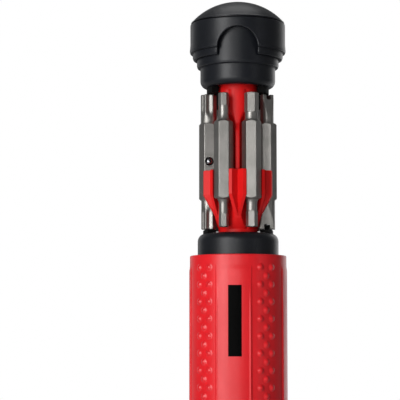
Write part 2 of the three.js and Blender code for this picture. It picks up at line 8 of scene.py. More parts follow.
import bpy
import numpy as np
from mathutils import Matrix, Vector


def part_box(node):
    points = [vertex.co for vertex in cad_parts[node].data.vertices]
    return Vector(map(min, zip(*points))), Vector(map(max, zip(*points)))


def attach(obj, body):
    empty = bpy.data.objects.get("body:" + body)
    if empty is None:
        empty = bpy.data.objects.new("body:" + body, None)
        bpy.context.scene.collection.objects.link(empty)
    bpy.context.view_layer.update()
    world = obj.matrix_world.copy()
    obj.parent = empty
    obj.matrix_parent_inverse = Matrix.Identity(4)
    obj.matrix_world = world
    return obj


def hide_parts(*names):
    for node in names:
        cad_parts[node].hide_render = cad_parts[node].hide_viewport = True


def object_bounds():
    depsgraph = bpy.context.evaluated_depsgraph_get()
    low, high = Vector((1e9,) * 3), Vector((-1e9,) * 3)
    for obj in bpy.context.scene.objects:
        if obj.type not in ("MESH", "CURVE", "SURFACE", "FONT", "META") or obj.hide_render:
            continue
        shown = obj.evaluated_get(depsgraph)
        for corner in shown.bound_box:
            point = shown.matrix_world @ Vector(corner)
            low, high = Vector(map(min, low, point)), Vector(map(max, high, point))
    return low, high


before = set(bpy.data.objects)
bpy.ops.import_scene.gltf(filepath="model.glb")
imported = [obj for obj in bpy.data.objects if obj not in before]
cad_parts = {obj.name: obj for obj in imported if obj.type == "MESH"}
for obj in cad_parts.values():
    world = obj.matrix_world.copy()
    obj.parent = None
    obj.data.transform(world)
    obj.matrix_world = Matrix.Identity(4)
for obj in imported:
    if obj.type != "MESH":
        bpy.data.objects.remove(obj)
cad_box = [list(corner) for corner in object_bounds()]
scene = bpy.context.scene
MM = 0.001

# %% [markdown]
# ## Heights and radii
# Everything is worked out in millimetres, about the tool's axis. Heights that a CAD node ends at are read from
# the frame, so that the pieces meet the solids they stand for. The rest are steps from those heights. The guide ring
# and the cap's core reach furthest with slim posts, so their own ends lie a post's length away.

# %% Heights and radii
def span(node):
    """Lowest and highest height of a CAD node, in millimetres."""
    low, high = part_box(node)
    return low.z / MM, high.z / MM


NOSE_BOTTOM, GRIP_TOP = span("handle")
SHAFT_END, ANCHOR_TOP = span("shaft")
COLLAR_BOTTOM, COLLAR_TOP = span("shaft_collar")
RING_BOTTOM, LOW_POST_TOP = span("guide_ring")
HIGH_POST_UNDER, CORE_HUB_TOP = span("cap_core")
LOW_POST_LENGTH, HIGH_POST_LENGTH, CHEEK_DROP = 3.55, 5.0, 2.4
RING_TOP = LOW_POST_TOP - LOW_POST_LENGTH
CHEEK_UNDER = HIGH_POST_UNDER + HIGH_POST_LENGTH
CORE_UNDER = CHEEK_UNDER + CHEEK_DROP
CAP_SEAT, SHELL_TOP = span("cap_shell")
DOME_FOOT, DOME_APEX = span("cap_dome")
CARRIER_TOP = span("bit_carrier")[1]
BIT_LOW, BIT_HIGH = span("star_bit_large")
BIT_MIDDLE = (BIT_LOW + BIT_HIGH) / 2
CONE_TOP = -GRIP_TOP
GRIP_RADIUS = 18.0
CAP_RADIUS = 17.9
BIT_CIRCLE = 11.004
BIT_TURN = -0.6
BIT_ANGLES = {
    "star_bit_large": -84, "hex_bit_small": -28, "hex_bit_large": 28,
    "spanner_bit_large": 84, "star_bit_small": 140, "spanner_bit_small": 220,
}
print("grip top", round(GRIP_TOP, 2), "ring top", round(RING_TOP, 2), "apex", round(DOME_APEX, 2))

# %% [markdown]
# ## From a grid of points to a mesh
# A surface here is a grid: rows of points, where each row closes round on itself. Neighbouring rows are joined by
# four-sided faces. The two end rows are closed with a fan to a middle point, or the last row joins the first, as
# in a ring. The sign of the volume says whether the faces look outwards, and turns them if they don't.

# %% Grid helpers
def closed_grid(points, ring=False):
    """A closed shell over a grid of points. Its volume is the sum over faces of a . (b x c) / 6."""
    rows, columns = points.shape[:2]
    index = np.arange(rows * columns).reshape(rows, columns)
    low = index if ring else index[:-1]
    high = np.roll(index, -1, axis=0) if ring else index[1:]
    quads = np.stack([low, np.roll(low, -1, 1), np.roll(high, -1, 1), high], -1).reshape(-1, 4)
    corners = points.reshape(-1, 3)
    fans = np.empty((0, 3), int)
    if not ring:
        foot, head = index[0], index[-1]
        count = len(corners)
        fans = np.vstack([
            np.stack([np.roll(foot, -1), foot, np.full(columns, count)], -1),
            np.stack([head, np.roll(head, -1), np.full(columns, count + 1)], -1),
        ])
        corners = np.vstack([corners, points[0].mean(0), points[-1].mean(0)])
    triangles = np.vstack([quads[:, [0, 1, 2]], quads[:, [0, 2, 3]], fans])
    a, b, c = (corners[triangles[:, k]] for k in range(3))
    if np.einsum("ij,ij->", a, np.cross(b, c)) < 0:
        quads, fans = quads[:, ::-1], fans[:, ::-1]
    return corners, quads, fans


def around(radius, angle, height):
    """Points at a radius and an angle from the front: x is r sin a, y is -r cos a."""
    radius, angle, height = np.broadcast_arrays(radius, angle, height)
    return np.stack([radius * np.sin(angle), -radius * np.cos(angle), height], -1)


def moved(shell, turn, place=0):
    """A shell turned about the vertical and moved."""
    corners, quads, fans = shell
    c, s = np.cos(turn), np.sin(turn)
    return corners @ np.array([[c, s, 0], [-s, c, 0], [0, 0, 1]]) + place, quads, fans


def even(columns):
    """Evenly spaced angles once round the axis."""
    return np.linspace(0, 2 * np.pi, columns, endpoint=False)


def smooth(value):
    """A step from 0 to 1 without corners: 3 v^2 - 2 v^3, with v held between 0 and 1."""
    value = np.clip(value, 0, 1)
    return value * value * (3 - 2 * value)


# %% [markdown]
# ## Profiles with rounded corners
# Turned parts are a profile carried once round the axis. No moulded edge is perfectly sharp, and it is the small
# rounds that catch the light, so each corner of a profile has a radius of its own.

# %% Rounded profiles
def rounded(corners, steps):
    """Each corner (radius, height, round) becomes an arc that touches both sides. The arc's points are the two
    arms from its centre, mixed by sin((1 - t) s) / sin s and sin(t s) / sin s for a sweep of s."""
    corners = np.asarray(corners, float)
    place, size = corners[:, :2], corners[:, 2]
    arms = [np.roll(place, 1, 0) - place, np.roll(place, -1, 0) - place]
    back, ahead = (arm / np.linalg.norm(arm, axis=1, keepdims=True) for arm in arms)
    half = np.arccos(np.clip((back * ahead).sum(1), -1, 1)) / 2
    middle = back + ahead
    middle /= np.linalg.norm(middle, axis=1, keepdims=True)
    centre = place + middle * (size / np.sin(half))[:, None]
    reach = (size / np.tan(half))[:, None]
    sweep = (np.pi - 2 * half)[:, None]
    t = np.linspace(0, 1, steps)[None]
    first = (np.sin((1 - t) * sweep) / np.sin(sweep))[..., None]
    last = (np.sin(t * sweep) / np.sin(sweep))[..., None]
    arcs = centre[:, None] + first * (place + back * reach - centre)[:, None]
    return (arcs + last * (place + ahead * reach - centre)[:, None]).reshape(-1, 2)


def turned(profile, columns, ring=False):
    """A profile of (radius, height) carried round the axis."""
    profile = np.asarray(profile, float)
    return closed_grid(around(profile[:, :1], even(columns)[None], profile[:, 1:]), ring)


def arc(radius, height, size, angles):
    """Points on a circle about a centre: its size times the cosine outwards, and times the sine upwards."""
    return np.stack([radius + size * np.cos(angles), height + size * np.sin(angles)], 1)


# %% [markdown]
# ## One call for every piece
# A piece is one or more closed shells in one mesh. Smooth shading with sharp edges above a set angle keeps flats
# flat and rounds round, and the Weighted Normal modifier lets the large faces decide how an edge is shaded.

# %% Make a piece
def shell_mesh(name, shells):
    """All shells as one mesh, in metres."""
    starts = np.cumsum([0] + [len(corners) for corners, _, _ in shells[:-1]])
    faces = [f for (_, quads, fans), start in zip(shells, starts) for f in
             (quads + start).tolist() + (fans + start).tolist()]
    mesh = bpy.data.meshes.new(name)
    mesh.from_pydata((np.vstack([corners for corners, _, _ in shells]) * MM).tolist(), [], faces)
    return mesh


def finish_shading(piece, sharp):
    """Smooth shading, with edges over an angle kept sharp."""
    piece.data.shade_smooth()
    piece.data.set_sharp_from_angle(angle=np.radians(sharp))
    piece.modifiers.new("even shading", "WEIGHTED_NORMAL").keep_sharp = True


def make_piece(name, shells, body, nodes, material, sharp=34, cutter=None):
    """A piece from its shells: it rides on a body, stands for its CAD nodes and takes a finish."""
    piece = bpy.data.objects.new(name, shell_mesh(name, shells))
    scene.collection.objects.link(piece)
    if cutter:
        cut_away(piece, cutter)
    piece.data.materials.append(material)
    finish_shading(piece, sharp)
    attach(piece, body)
    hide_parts(*nodes)
    print(name, len(piece.data.polygons), "faces")


def cut_away(piece, shells):
    """Takes the cutter's shells out of a piece with a Boolean, and keeps the result as its mesh."""
    tool = bpy.data.objects.new("cutter", shell_mesh("cutter", shells))
    scene.collection.objects.link(tool)
    cut = piece.modifiers.new("cut", "BOOLEAN")
    cut.object = tool
    cut.solver = "EXACT"
    result = bpy.data.meshes.new_from_object(piece.evaluated_get(bpy.context.evaluated_depsgraph_get()))
    piece.modifiers.clear()
    piece.data = result
    result.name = piece.name
    bpy.data.objects.remove(tool)


# %% [markdown]
# ## Shared effects as node groups
# Moulded plastic and blasted steel are never one flat colour. Two effects serve all the finishes: a fine grain,
# as from an etched mould, and slow smudges from handling. Each is a node group that reads Object coordinates, so
# it stays on the piece, and puts out plain values that a material uses as it likes.

# %% Node groups
def new_group(name, scale, output):
    """A node group with one input, Scale, and one output. Gives both inside it, with the Object coordinates."""
    group = bpy.data.node_groups.new(name, "ShaderNodeTree")
    group.interface.new_socket("Scale", in_out="INPUT", socket_type="NodeSocketFloat").default_value = scale
    group.interface.new_socket(output, in_out="OUTPUT", socket_type="NodeSocketFloat")
    given, made = group.nodes.new("NodeGroupInput"), group.nodes.new("NodeGroupOutput")
    place = group.nodes.new("ShaderNodeTexCoord").outputs["Object"]
    return group, given.outputs["Scale"], place, made.inputs[output]


def add_noise(tree, vector, scale, detail, roughness=0.5):
    """Noise at a place, with its scale from another socket."""
    noise = tree.nodes.new("ShaderNodeTexNoise")
    noise.inputs["Detail"].default_value = detail
    noise.inputs["Roughness"].default_value = roughness
    tree.links.new(scale, noise.inputs["Scale"])
    tree.links.new(vector, noise.inputs["Vector"])
    return noise.outputs["Fac"]


def add_range(tree, value, low, high, to_low, to_high):
    """A value from one range to another, held at its ends."""
    node = tree.nodes.new("ShaderNodeMapRange")
    for socket, number in zip(("From Min", "From Max", "To Min", "To Max"), (low, high, to_low, to_high)):
        node.inputs[socket].default_value = number
    tree.links.new(value, node.inputs["Value"])
    return node.outputs["Result"]


def add_math(tree, operation, first, second=None):
    """A sum on one or two values, each a number or a socket."""
    node = tree.nodes.new("ShaderNodeMath")
    node.operation = operation
    for socket, value in zip(node.inputs, (first, second)):
        if isinstance(value, (int, float)):
            socket.default_value = value
        elif value is not None:
            tree.links.new(value, socket)
    return node.outputs[0]


def mould_grain():
    """Fine grain: two noises, a third of a millimetre and a tenth, added."""
    group, scale, place, height = new_group("mould grain", 3000, "Height")
    coarse = add_noise(group, place, scale, 3)
    fine = add_noise(group, place, add_math(group, "MULTIPLY", scale, 3.1), 2)
    group.links.new(add_math(group, "ADD", coarse, add_math(group, "MULTIPLY", fine, 0.5)), height)
    return group


def hand_smudges():
    """Slow change from 0 to 1 over centimetres, with a few finer streaks."""
    group, scale, place, amount = new_group("hand smudges", 60, "Amount")
    slow = add_noise(group, place, scale, 4, 0.6)
    group.links.new(add_range(group, slow, 0.32, 0.68, 0.0, 1.0), amount)
    return group


GRAIN = mould_grain()
SMUDGES = hand_smudges()
print("node groups:", [group.name for group in bpy.data.node_groups])

# %% [markdown]
# ## Finishes
# Every finish starts from the Principled shader. Its colour runs between a darker and a lighter shade by the
# smudges, its roughness follows them too, and the grain goes through a Bump node into the normal. Numbers that
# are the same all over, such as the coat, sit on the shader's own sockets.

# %% Material helpers
def use_group(tree, group, scale):
    """A node group at a scale, as its first output."""
    node = tree.nodes.new("ShaderNodeGroup")
    node.node_tree = group
    node.inputs["Scale"].default_value = scale
    return node.outputs[0]


def mix_colour(tree, amount, dark, light):
    """From one colour to another by an amount. A colour is three numbers or a socket."""
    node = tree.nodes.new("ShaderNodeMix")
    node.data_type = "RGBA"
    colours = [socket for socket in node.inputs if socket.type == "RGBA"]
    for socket, value in zip(colours, (dark, light)):
        if isinstance(value, tuple):
            socket.default_value = (*value, 1)
        else:
            tree.links.new(value, socket)
    tree.links.new(amount, node.inputs[0])
    return next(socket for socket in node.outputs if socket.type == "RGBA")


def new_finish(name, dark, light, rough, grain, bump, smudge=60, **constants):
    """A finish with its colour and roughness led by smudges and its normal by grain."""
    material = bpy.data.materials.new(name)
    material.use_nodes = True
    tree = material.node_tree
    shader = tree.nodes["Principled BSDF"]
    amount = use_group(tree, SMUDGES, smudge)
    tree.links.new(mix_colour(tree, amount, dark, light), shader.inputs["Base Color"])
    tree.links.new(add_range(tree, amount, 0.0, 1.0, *rough), shader.inputs["Roughness"])
    relief = tree.nodes.new("ShaderNodeBump")
    relief.inputs["Strength"].default_value = bump
    relief.inputs["Distance"].default_value = 0.00012
    tree.links.new(use_group(tree, GRAIN, grain), relief.inputs["Height"])
    tree.links.new(relief.outputs["Normal"], shader.inputs["Normal"])
    for socket, value in constants.items():
        shader.inputs[socket.replace("_", " ")].default_value = value
    return material


GRIP_REDS = (0.66, 0.007, 0.012), (0.74, 0.010, 0.016)
red_grip = new_finish("satin red moulding", *GRIP_REDS, (0.40, 0.33), 2600, 0.25)
red_dots = new_finish("worn red dots", *GRIP_REDS, (0.36, 0.30), 2600, 0.10)
red_carrier = new_finish("glossy red moulding", (0.62, 0.006, 0.006), (0.70, 0.009, 0.010), (0.48, 0.40), 2200, 0.10,
                         Specular_IOR_Level=0.2)
black_cap = new_finish("satin black moulding", (0.003, 0.004, 0.006), (0.006, 0.007, 0.010), (0.42, 0.34), 2800, 0.25,
                       Specular_IOR_Level=0.32)
# Nearly unlit black with little reflection: painted shade, worn by the dark blocks on the guide ring and under the
# cap.
painted_shade_black = new_finish("matt black painted shade", (0.002, 0.002, 0.002), (0.003, 0.003, 0.003), (0.8, 0.7), 2800, 0.2,
                        Specular_IOR_Level=0.12)
black_shaft = new_finish("glossy black steel", (0.006, 0.006, 0.007), (0.012, 0.012, 0.013), (0.16, 0.10), 1800, 0.06,
                         Coat_Weight=0.5, Coat_Roughness=0.06)
grey_bit = new_finish("blasted grey steel", (0.21, 0.203, 0.19), (0.26, 0.25, 0.235), (0.38, 0.31), 5200, 0.30, 140,
                      Metallic=0.85)
bright_ball = new_finish("polished steel", (0.20, 0.20, 0.21), (0.28, 0.28, 0.29), (0.16, 0.10), 3000, 0.03, 200,
                         Metallic=1.0)
finishes = [red_grip, red_dots, red_carrier, black_cap, painted_shade_black, black_shaft, grey_bit, bright_ball]
print("finishes:", [material.name for material in finishes])

# %% [markdown]
# ## The grip
# The grip is one red moulding: a cylinder with a cone, a neck and a nose below it, a bore for the cartridge
# above, and four long smooth panels that stand a quarter of a millimetre proud. It could be a lathe shape with
# panels joined on, but their soft edges would need bevels. Here the whole outside is one grid whose radius grows
# inside a panel's outline, with columns and rows packed where the panels' edges run.

# %% Grip profile
def spline(points, steps):
    """Catmull-Rom curve through points: each span is a cubic led by its neighbours, ends doubled."""
    points = np.asarray(points, float)
    padded = np.vstack([points[:1], points, points[-1:]])
    a, b, c, d = (padded[k:len(points) - 1 + k][:, None] for k in range(4))
    t = np.linspace(0, 1, steps, endpoint=False)[None, :, None]
    curve = b + 0.5 * t * (c - a + t * (2 * a - 5 * b + 4 * c - d + t * (3 * (b - c) + d - a)))
    return np.vstack([curve.reshape(-1, 2), points[-1:]])


NOSE_RADIUS, NECK_RADIUS, CONE_END_RADIUS = 10.85, 9.2, 12.0
NOSE_TOP = NOSE_BOTTOM + 6.0
NECK_HEIGHT = NOSE_TOP + 3.9
CONE_END = NECK_HEIGHT + 4.8
EDGE_ROUND, FOOT_ROUND, ARC_STEPS = 0.4, 0.6, 7
neck = spline([(NOSE_RADIUS, NOSE_TOP), (NECK_RADIUS, NECK_HEIGHT), (CONE_END_RADIUS, CONE_END)], 10)
bend = [(CONE_END_RADIUS, CONE_END, 0.5), (GRIP_RADIUS, CONE_TOP, 5.0), (GRIP_RADIUS, GRIP_TOP, EDGE_ROUND)]
shoulder = rounded(bend, ARC_STEPS)[ARC_STEPS:2 * ARC_STEPS]  # only the arc between cone and cylinder
outside = np.vstack([[(NOSE_RADIUS, NOSE_BOTTOM + FOOT_ROUND)], neck, shoulder,
                     [(GRIP_RADIUS, GRIP_TOP - EDGE_ROUND)]])
PANEL_TOP = GRIP_TOP - 4.8
PANEL_HALF = 6.5
PANEL_END = CONE_TOP - 7.0 + PANEL_HALF
PANEL_RISE, BEAD_RISE = 0.25, 0.2
PANEL_TURN = np.radians(-5.5)
print("outside profile:", len(outside), "points")

# %% Grip surface
def panel_lift(angle, height, radius):
    """How far a panel lifts the surface: its rise times a smooth step over a third of a millimetre at its edge.
    The distance to the outline is that to a strip with a round lower end. Its top fades out slowly. A low bead,
    a bell curve, runs just inside both sides."""
    turn = (angle - PANEL_TURN + np.pi / 4) % (np.pi / 2) - np.pi / 4
    across = np.abs(radius * np.sin(turn))
    straight = np.maximum(across - PANEL_HALF, 0.14 * (height - PANEL_TOP))
    round_end = np.hypot(across, height - PANEL_END) - PANEL_HALF
    inside = -np.where(height > PANEL_END, straight, round_end)
    bead = BEAD_RISE * np.exp(-((inside - 0.42) / 0.36) ** 2) * smooth((PANEL_TOP - 6 - height) / 10)
    return PANEL_RISE * smooth(0.5 + inside / 0.36) + bead


quarter = np.concatenate([
    np.linspace(0, 16.8, 8), np.arange(17.3, 22.2, 0.2), np.arange(22.4, 29.4, 0.5), np.linspace(30, 45, 7),
])
turns = np.concatenate([-quarter[:0:-1], quarter[:-1]])
grip_angles = np.radians((turns[None] + np.array([0, 90, 180, 270])[:, None]).ravel()) + PANEL_TURN
grip_rows = np.concatenate([
    neck[1:, 1], np.linspace(CONE_END + 0.5, PANEL_END - 6.9, 6), np.linspace(PANEL_END - 6.7, PANEL_END - 3.2, 24),
    np.linspace(PANEL_END - 3.0, CONE_TOP + 3.0, 12), np.linspace(CONE_TOP + 5, PANEL_TOP - 2.5, 26),
    np.linspace(PANEL_TOP - 1.6, PANEL_TOP + 1.6, 9), np.linspace(PANEL_TOP + 2.2, GRIP_TOP - 0.42, 4),
])
row_radius = np.interp(grip_rows, outside[:, 1], outside[:, 0])
side = row_radius[:, None] + panel_lift(grip_angles[None], grip_rows[:, None], row_radius[:, None])
side = around(side, grip_angles[None], grip_rows[:, None])
edge = np.radians(np.linspace(0, 90, 5))
BORE_FLOOR = GRIP_TOP - 84.65
SHAFT_HOLE = 4.8625
foot = np.array([(0.01, ANCHOR_TOP), (SHAFT_HOLE, ANCHOR_TOP), (SHAFT_HOLE, NOSE_BOTTOM + 0.1),
                 (SHAFT_HOLE + 0.1, NOSE_BOTTOM)])
foot_round = arc(NOSE_RADIUS - FOOT_ROUND, NOSE_BOTTOM + FOOT_ROUND, FOOT_ROUND, edge - np.pi / 2)
foot = np.vstack([foot, foot_round, neck[:1]])
rim = arc(GRIP_RADIUS - EDGE_ROUND, GRIP_TOP - EDGE_ROUND, EDGE_ROUND, edge)
mouth = np.array([(15.95, GRIP_TOP), (15.77, GRIP_TOP - 0.07), (15.7, GRIP_TOP - 0.25), (15.7, GRIP_TOP - 2.9),
                  (15.8, GRIP_TOP - 3.0), (16.4, GRIP_TOP - 3.0), (16.5, GRIP_TOP - 3.1), (16.5, BORE_FLOOR + 0.1),
                  (16.4, BORE_FLOOR), (0.01, BORE_FLOOR)])


def rings(profile):
    """Rows of the grip's grid where it is plainly round."""
    return around(profile[:, :1], grip_angles[None], profile[:, 1:])


grip_shell = closed_grid(np.concatenate([rings(foot), side, rings(np.vstack([rim, mouth]))]))
make_piece("grip_moulding", [grip_shell], "handle", ["handle"], red_grip, sharp=40)

# %% [markdown]
# ## Grip dots
# Between the panels, four zones of low round dots stop the hand from slipping. They run in rows of two and one.
# One soft bump, half a cosine wave high, is worked out once. Its points are wrapped on the cylinder at every
# place at once: across becomes an angle, up stays a height and out adds to the radius.

# %% Grip dots
DOT_RADIUS, DOT_HEIGHT, DOT_PITCH = 1.6, 0.72, 6.24
dot_turns = np.array([(zone, turn, row) for zone in (34.9, 135.7, 214.9, 315.7) for row in range(25)
                      for turn in ((-7.9, 7.9) if row % 2 == 0 else (0.0,))])
dot_angle = np.radians(dot_turns[:, 0] + dot_turns[:, 1])
dot_height = PANEL_TOP - dot_turns[:, 2] * DOT_PITCH / 2
part = np.array([1.08, 1.08, 0.9, 0.7, 0.48, 0.22])
dot_out = DOT_HEIGHT * (1 + np.cos(np.pi * np.minimum(part, 1))) / 2 + np.array([-0.4, -0.04, 0, 0, 0, 0])
dot_turn = even(14)
dot_across = DOT_RADIUS * part[:, None] * np.cos(dot_turn) / GRIP_RADIUS
dot_up = DOT_RADIUS * part[:, None] * np.sin(dot_turn)
dot_points = around(GRIP_RADIUS + dot_out[None, :, None], dot_angle[:, None, None] + dot_across[None],
                    dot_height[:, None, None] + dot_up[None])
make_piece("grip_dots", [closed_grid(points) for points in dot_points], "handle", ["handle"],
           red_dots, sharp=60)
print(len(dot_points), "dots")

# %% [markdown]
# ## The collar and the shaft
# Below the nose, a black collar tapers towards the shaft. Four flats are milled on it, and a flat is simply a
# limit on the radius: its distance from the axis over the cosine of the angle from its middle. The shaft is a
# glossy round bar with a hexagonal socket in its end, which is a profile whose last rows use a hexagon's radius.

# %% Collar
FLAT_DISTANCE, FLAT_TURN = 9.2, np.radians(20)
corners = rounded([
    (SHAFT_HOLE, COLLAR_TOP, 0.05), (SHAFT_HOLE, COLLAR_BOTTOM, 0.2), (8.4, COLLAR_BOTTOM, 1.8),
    (10.3, COLLAR_TOP - 11.0, 4.0), (10.45, COLLAR_TOP, 0.3),
], 8)
lengths = np.concatenate([[0], np.cumsum(np.linalg.norm(np.diff(corners, axis=0), axis=1))])
stations = np.unique(np.concatenate([lengths, np.linspace(0, lengths[-1], 240)]))
collar_path = np.stack([np.interp(stations, lengths, corners[:, k]) for k in range(2)], 1)
collar_angles = even(180)
from_flat = (collar_angles - FLAT_TURN + np.pi / 4) % (np.pi / 2) - np.pi / 4
collar_radius = np.where(
    collar_path[:, 1:] < COLLAR_TOP - 3.0,
    np.minimum(collar_path[:, :1], FLAT_DISTANCE / np.cos(from_flat)[None]),
    collar_path[:, :1],
)
make_piece("shaft_collar_moulding",
           [closed_grid(around(collar_radius, collar_angles[None], collar_path[:, 1:]), ring=True)],
           "handle", ["shaft_collar"], black_cap, sharp=28)

# %% Shaft
def hexagon_reach(angle, across, trim=0.985):
    """Radius of a hexagon with a corner at angle 0: half its width over the cosine of the angle from the nearest
    side's middle, held a little under its corner."""
    reach = across / 2 / np.cos(angle % (np.pi / 3) - np.pi / 6)
    return np.minimum(reach, trim * across / np.sqrt(3))


SHAFT_RADIUS = 4.7625
SOCKET_ACROSS = 6.55
SOCKET_FLOOR = SHAFT_END + 38.0
shaft_angles = even(120)
hexed = hexagon_reach(shaft_angles - np.pi / 2, 1.0, 0.999)
plain = np.ones_like(hexed)
shaft_rows = [
    (0.01, plain, ANCHOR_TOP), (12.9, hexed, ANCHOR_TOP), (13.0, hexed, ANCHOR_TOP - 0.1),
    (13.0, hexed, ANCHOR_TOP - 11.9), (12.9, hexed, ANCHOR_TOP - 12.0), (SHAFT_RADIUS, plain, ANCHOR_TOP - 12.0),
    (SHAFT_RADIUS, plain, ANCHOR_TOP - 12.1), (SHAFT_RADIUS, plain, SHAFT_END + 0.6),
    (SHAFT_RADIUS - 0.06, plain, SHAFT_END + 0.3), (SHAFT_RADIUS - 0.25, plain, SHAFT_END + 0.08),
    (SHAFT_RADIUS - 0.5, plain, SHAFT_END), (3.95, plain, SHAFT_END), (3.78, plain, SHAFT_END + 0.05),
    (SOCKET_ACROSS, hexed, SHAFT_END + 0.6), (SOCKET_ACROSS, hexed, SOCKET_FLOOR), (0.01, plain, SOCKET_FLOOR),
]
shaft_radius = np.array([size * shape for size, shape, _ in shaft_rows])
shaft_height = np.array([height for _, _, height in shaft_rows])
make_piece("shaft_bar", [closed_grid(around(shaft_radius, shaft_angles[None], shaft_height[:, None]))],
           "handle", ["shaft"], black_shaft)

# %% [markdown]
# ## The guide ring
# A black ring with a softly rounded shoulder closes the grip's mouth. Its flange runs inside the bore and stops
# the cartridge under the lip. It is a plain turned ring. Two low pads stand on it under the outer bits, each with
# a post between two bits. Their deep matt black is painted shade between the bits' lower ends and the ring. A pad
# is a sector: an outer and an inner arc at each height make one closed row.

# %% Guide ring
def sector_block(inner, outer, start, end, low, high):
    """A sector between two radii, two angles from the front and two heights, with its end edges taken back."""
    edge = 0.15
    inset = np.array([edge, 0.0, 0.0, edge])[:, None]
    height = np.array([low, low + edge, high - edge, high])[:, None]
    sweep = np.radians(np.linspace(start, end, 25))[None]
    rows = [around(outer - inset, sweep, height), around(inner + inset, sweep[:, ::-1], height)]
    return closed_grid(np.concatenate(rows, 1))


def both_sides(inner, outer, start, end, low, high):
    """A sector on the right and its mirror image on the left."""
    return [sector_block(inner, outer, side * start, side * end, low, high) for side in (1, -1)]


POST_FROM, POST_TO = 104, 120
GUIDE_RADIUS, FLANGE_RADIUS = 15.1, 16.2
FLANGE_TOP = GRIP_TOP - 3.3
make_piece("cartridge_guide_ring", [turned(rounded([
    (6.1, RING_TOP - 3.0, 0.1), (12.6, RING_TOP - 3.0, 0.3), (12.6, RING_BOTTOM, 0.2),
    (GUIDE_RADIUS, RING_BOTTOM, 0.2), (GUIDE_RADIUS, FLANGE_TOP - 2.7, 0.1), (FLANGE_RADIUS, FLANGE_TOP - 2.7, 0.2),
    (FLANGE_RADIUS, FLANGE_TOP, 0.2), (GUIDE_RADIUS, FLANGE_TOP, 0.1), (GUIDE_RADIUS, RING_TOP, 3.0),
    (6.1, RING_TOP, 0.1),
], 9), 144, ring=True)], "cartridge", ["guide_ring"], black_cap)

PAD_INNER, PAD_OUTER, PAD_ROOT, PAD_TOP = 9.5, 13.1, RING_TOP - 1.5, RING_TOP + 1.15
# The pads' deep matt black is painted shade between the bits' lower ends and the ring.
shade_pads = both_sides(PAD_INNER, PAD_OUTER, 60, 120, PAD_ROOT, PAD_TOP)
shade_pads += both_sides(PAD_INNER, PAD_OUTER, POST_FROM, POST_TO, PAD_ROOT, LOW_POST_TOP)
make_piece("guide_ring_shade_pads", shade_pads, "cartridge", ["guide_ring"], painted_shade_black)

# %% [markdown]
# ## The bit carrier
# The red core of the cartridge has a trumpet-shaped head, six ribs that flare out between the bits' slim ends, and
# six clips with a V groove. Ribs and clips are cross-sections carried up the axis: at each height a row of points
# is worked out across and outwards, and the rows make a closed shell that is turned to its place.

# %% Carrier sections
CLIP_TOP, CLIP_BOTTOM, CLIP_BASE = BIT_MIDDLE - 3.65, BIT_MIDDLE - 12.95, RING_TOP + 1.6
CLIP_RADIUS, CORE_RADIUS, POCKET_HALF = 13.9, 7.34, 3.475
GROOVE_DEPTH, GROOVE_SPREAD, GROOVE_END, LIP_WIDTH = 2.3, 1.05, 0.82, 1.35
TRUMPET_TOP, TRUMPET_ROUND, STEM_RADIUS = CORE_UNDER + 2.3, 7.0, 2.4
FLARE_FOOT, FLARE_ROUND, RIB_HALF, RIB_RADIUS = BIT_MIDDLE + 12.4, 7.5, 0.95, 8.64
bit_turns = np.array(list(BIT_ANGLES.values())) + BIT_TURN
clip_turns = (bit_turns + np.append(bit_turns[1:], bit_turns[0] + 360)) / 2
half_gaps = np.radians(np.append(bit_turns[1:], bit_turns[0] + 360) - bit_turns) / 2


def mirrored_shell(across, outwards, height):
    """A shell at the front from the right half of its sections, each listed from the back to the front middle."""
    right = np.stack(np.broadcast_arrays(across, -outwards, height), -1)
    left = right[:, ::-1] * np.array([-1, 1, 1])
    return closed_grid(np.concatenate([right, left], 1))


# %% Ribs and trumpet
def rib_shell():
    """The half-width is even, then grows along an arc from the flare's foot: the half-width plus r - sqrt(r^2 - h^2).
    The outside is a cone, a cylinder, a short step in, and the trumpet's radius. Front corners are rounded off."""
    height = np.concatenate([
        np.linspace(CLIP_BASE, CLIP_TOP, 8), np.linspace(CLIP_TOP + 1, FLARE_FOOT - 1.4, 6),
        np.linspace(FLARE_FOOT - 1, FLARE_FOOT + 8, 26), np.linspace(FLARE_FOOT + 9, TRUMPET_TOP - 1.5, 5),
    ])[:, None]
    rise = np.clip(height - FLARE_FOOT, 0, FLARE_ROUND - 0.01)
    half = np.minimum(RIB_HALF + FLARE_ROUND - np.sqrt(FLARE_ROUND ** 2 - rise ** 2), 4.2)
    reach = np.interp(height, [CLIP_BASE, CLIP_TOP, FLARE_FOOT - 1.3, FLARE_FOOT + 1.6],
                      [0.4, RIB_RADIUS, RIB_RADIUS, CORE_RADIUS])
    soft = np.minimum(np.interp(height, [FLARE_FOOT, FLARE_FOOT + 4], [0.55, 2.2]), 0.6 * half)
    turn = np.radians(np.linspace(0, 90, 7))[None]
    corner = half - soft + soft * np.cos(turn)
    middle = (half - soft) * np.array([0.8, 0.6, 0.4, 0.2])[None]
    across = np.concatenate([half, half, corner, middle, 0 * half + 0.02], 1)
    limit = np.sqrt(np.maximum(reach ** 2 - across[:, 2:] ** 2, 0.01))
    front = np.maximum(limit[:, :7] - soft + soft * np.sin(turn), 0.05)
    outwards = np.concatenate([0 * half, 0.5 * front[:, :1], front, limit[:, 7:]], 1)
    return mirrored_shell(across, outwards, height)


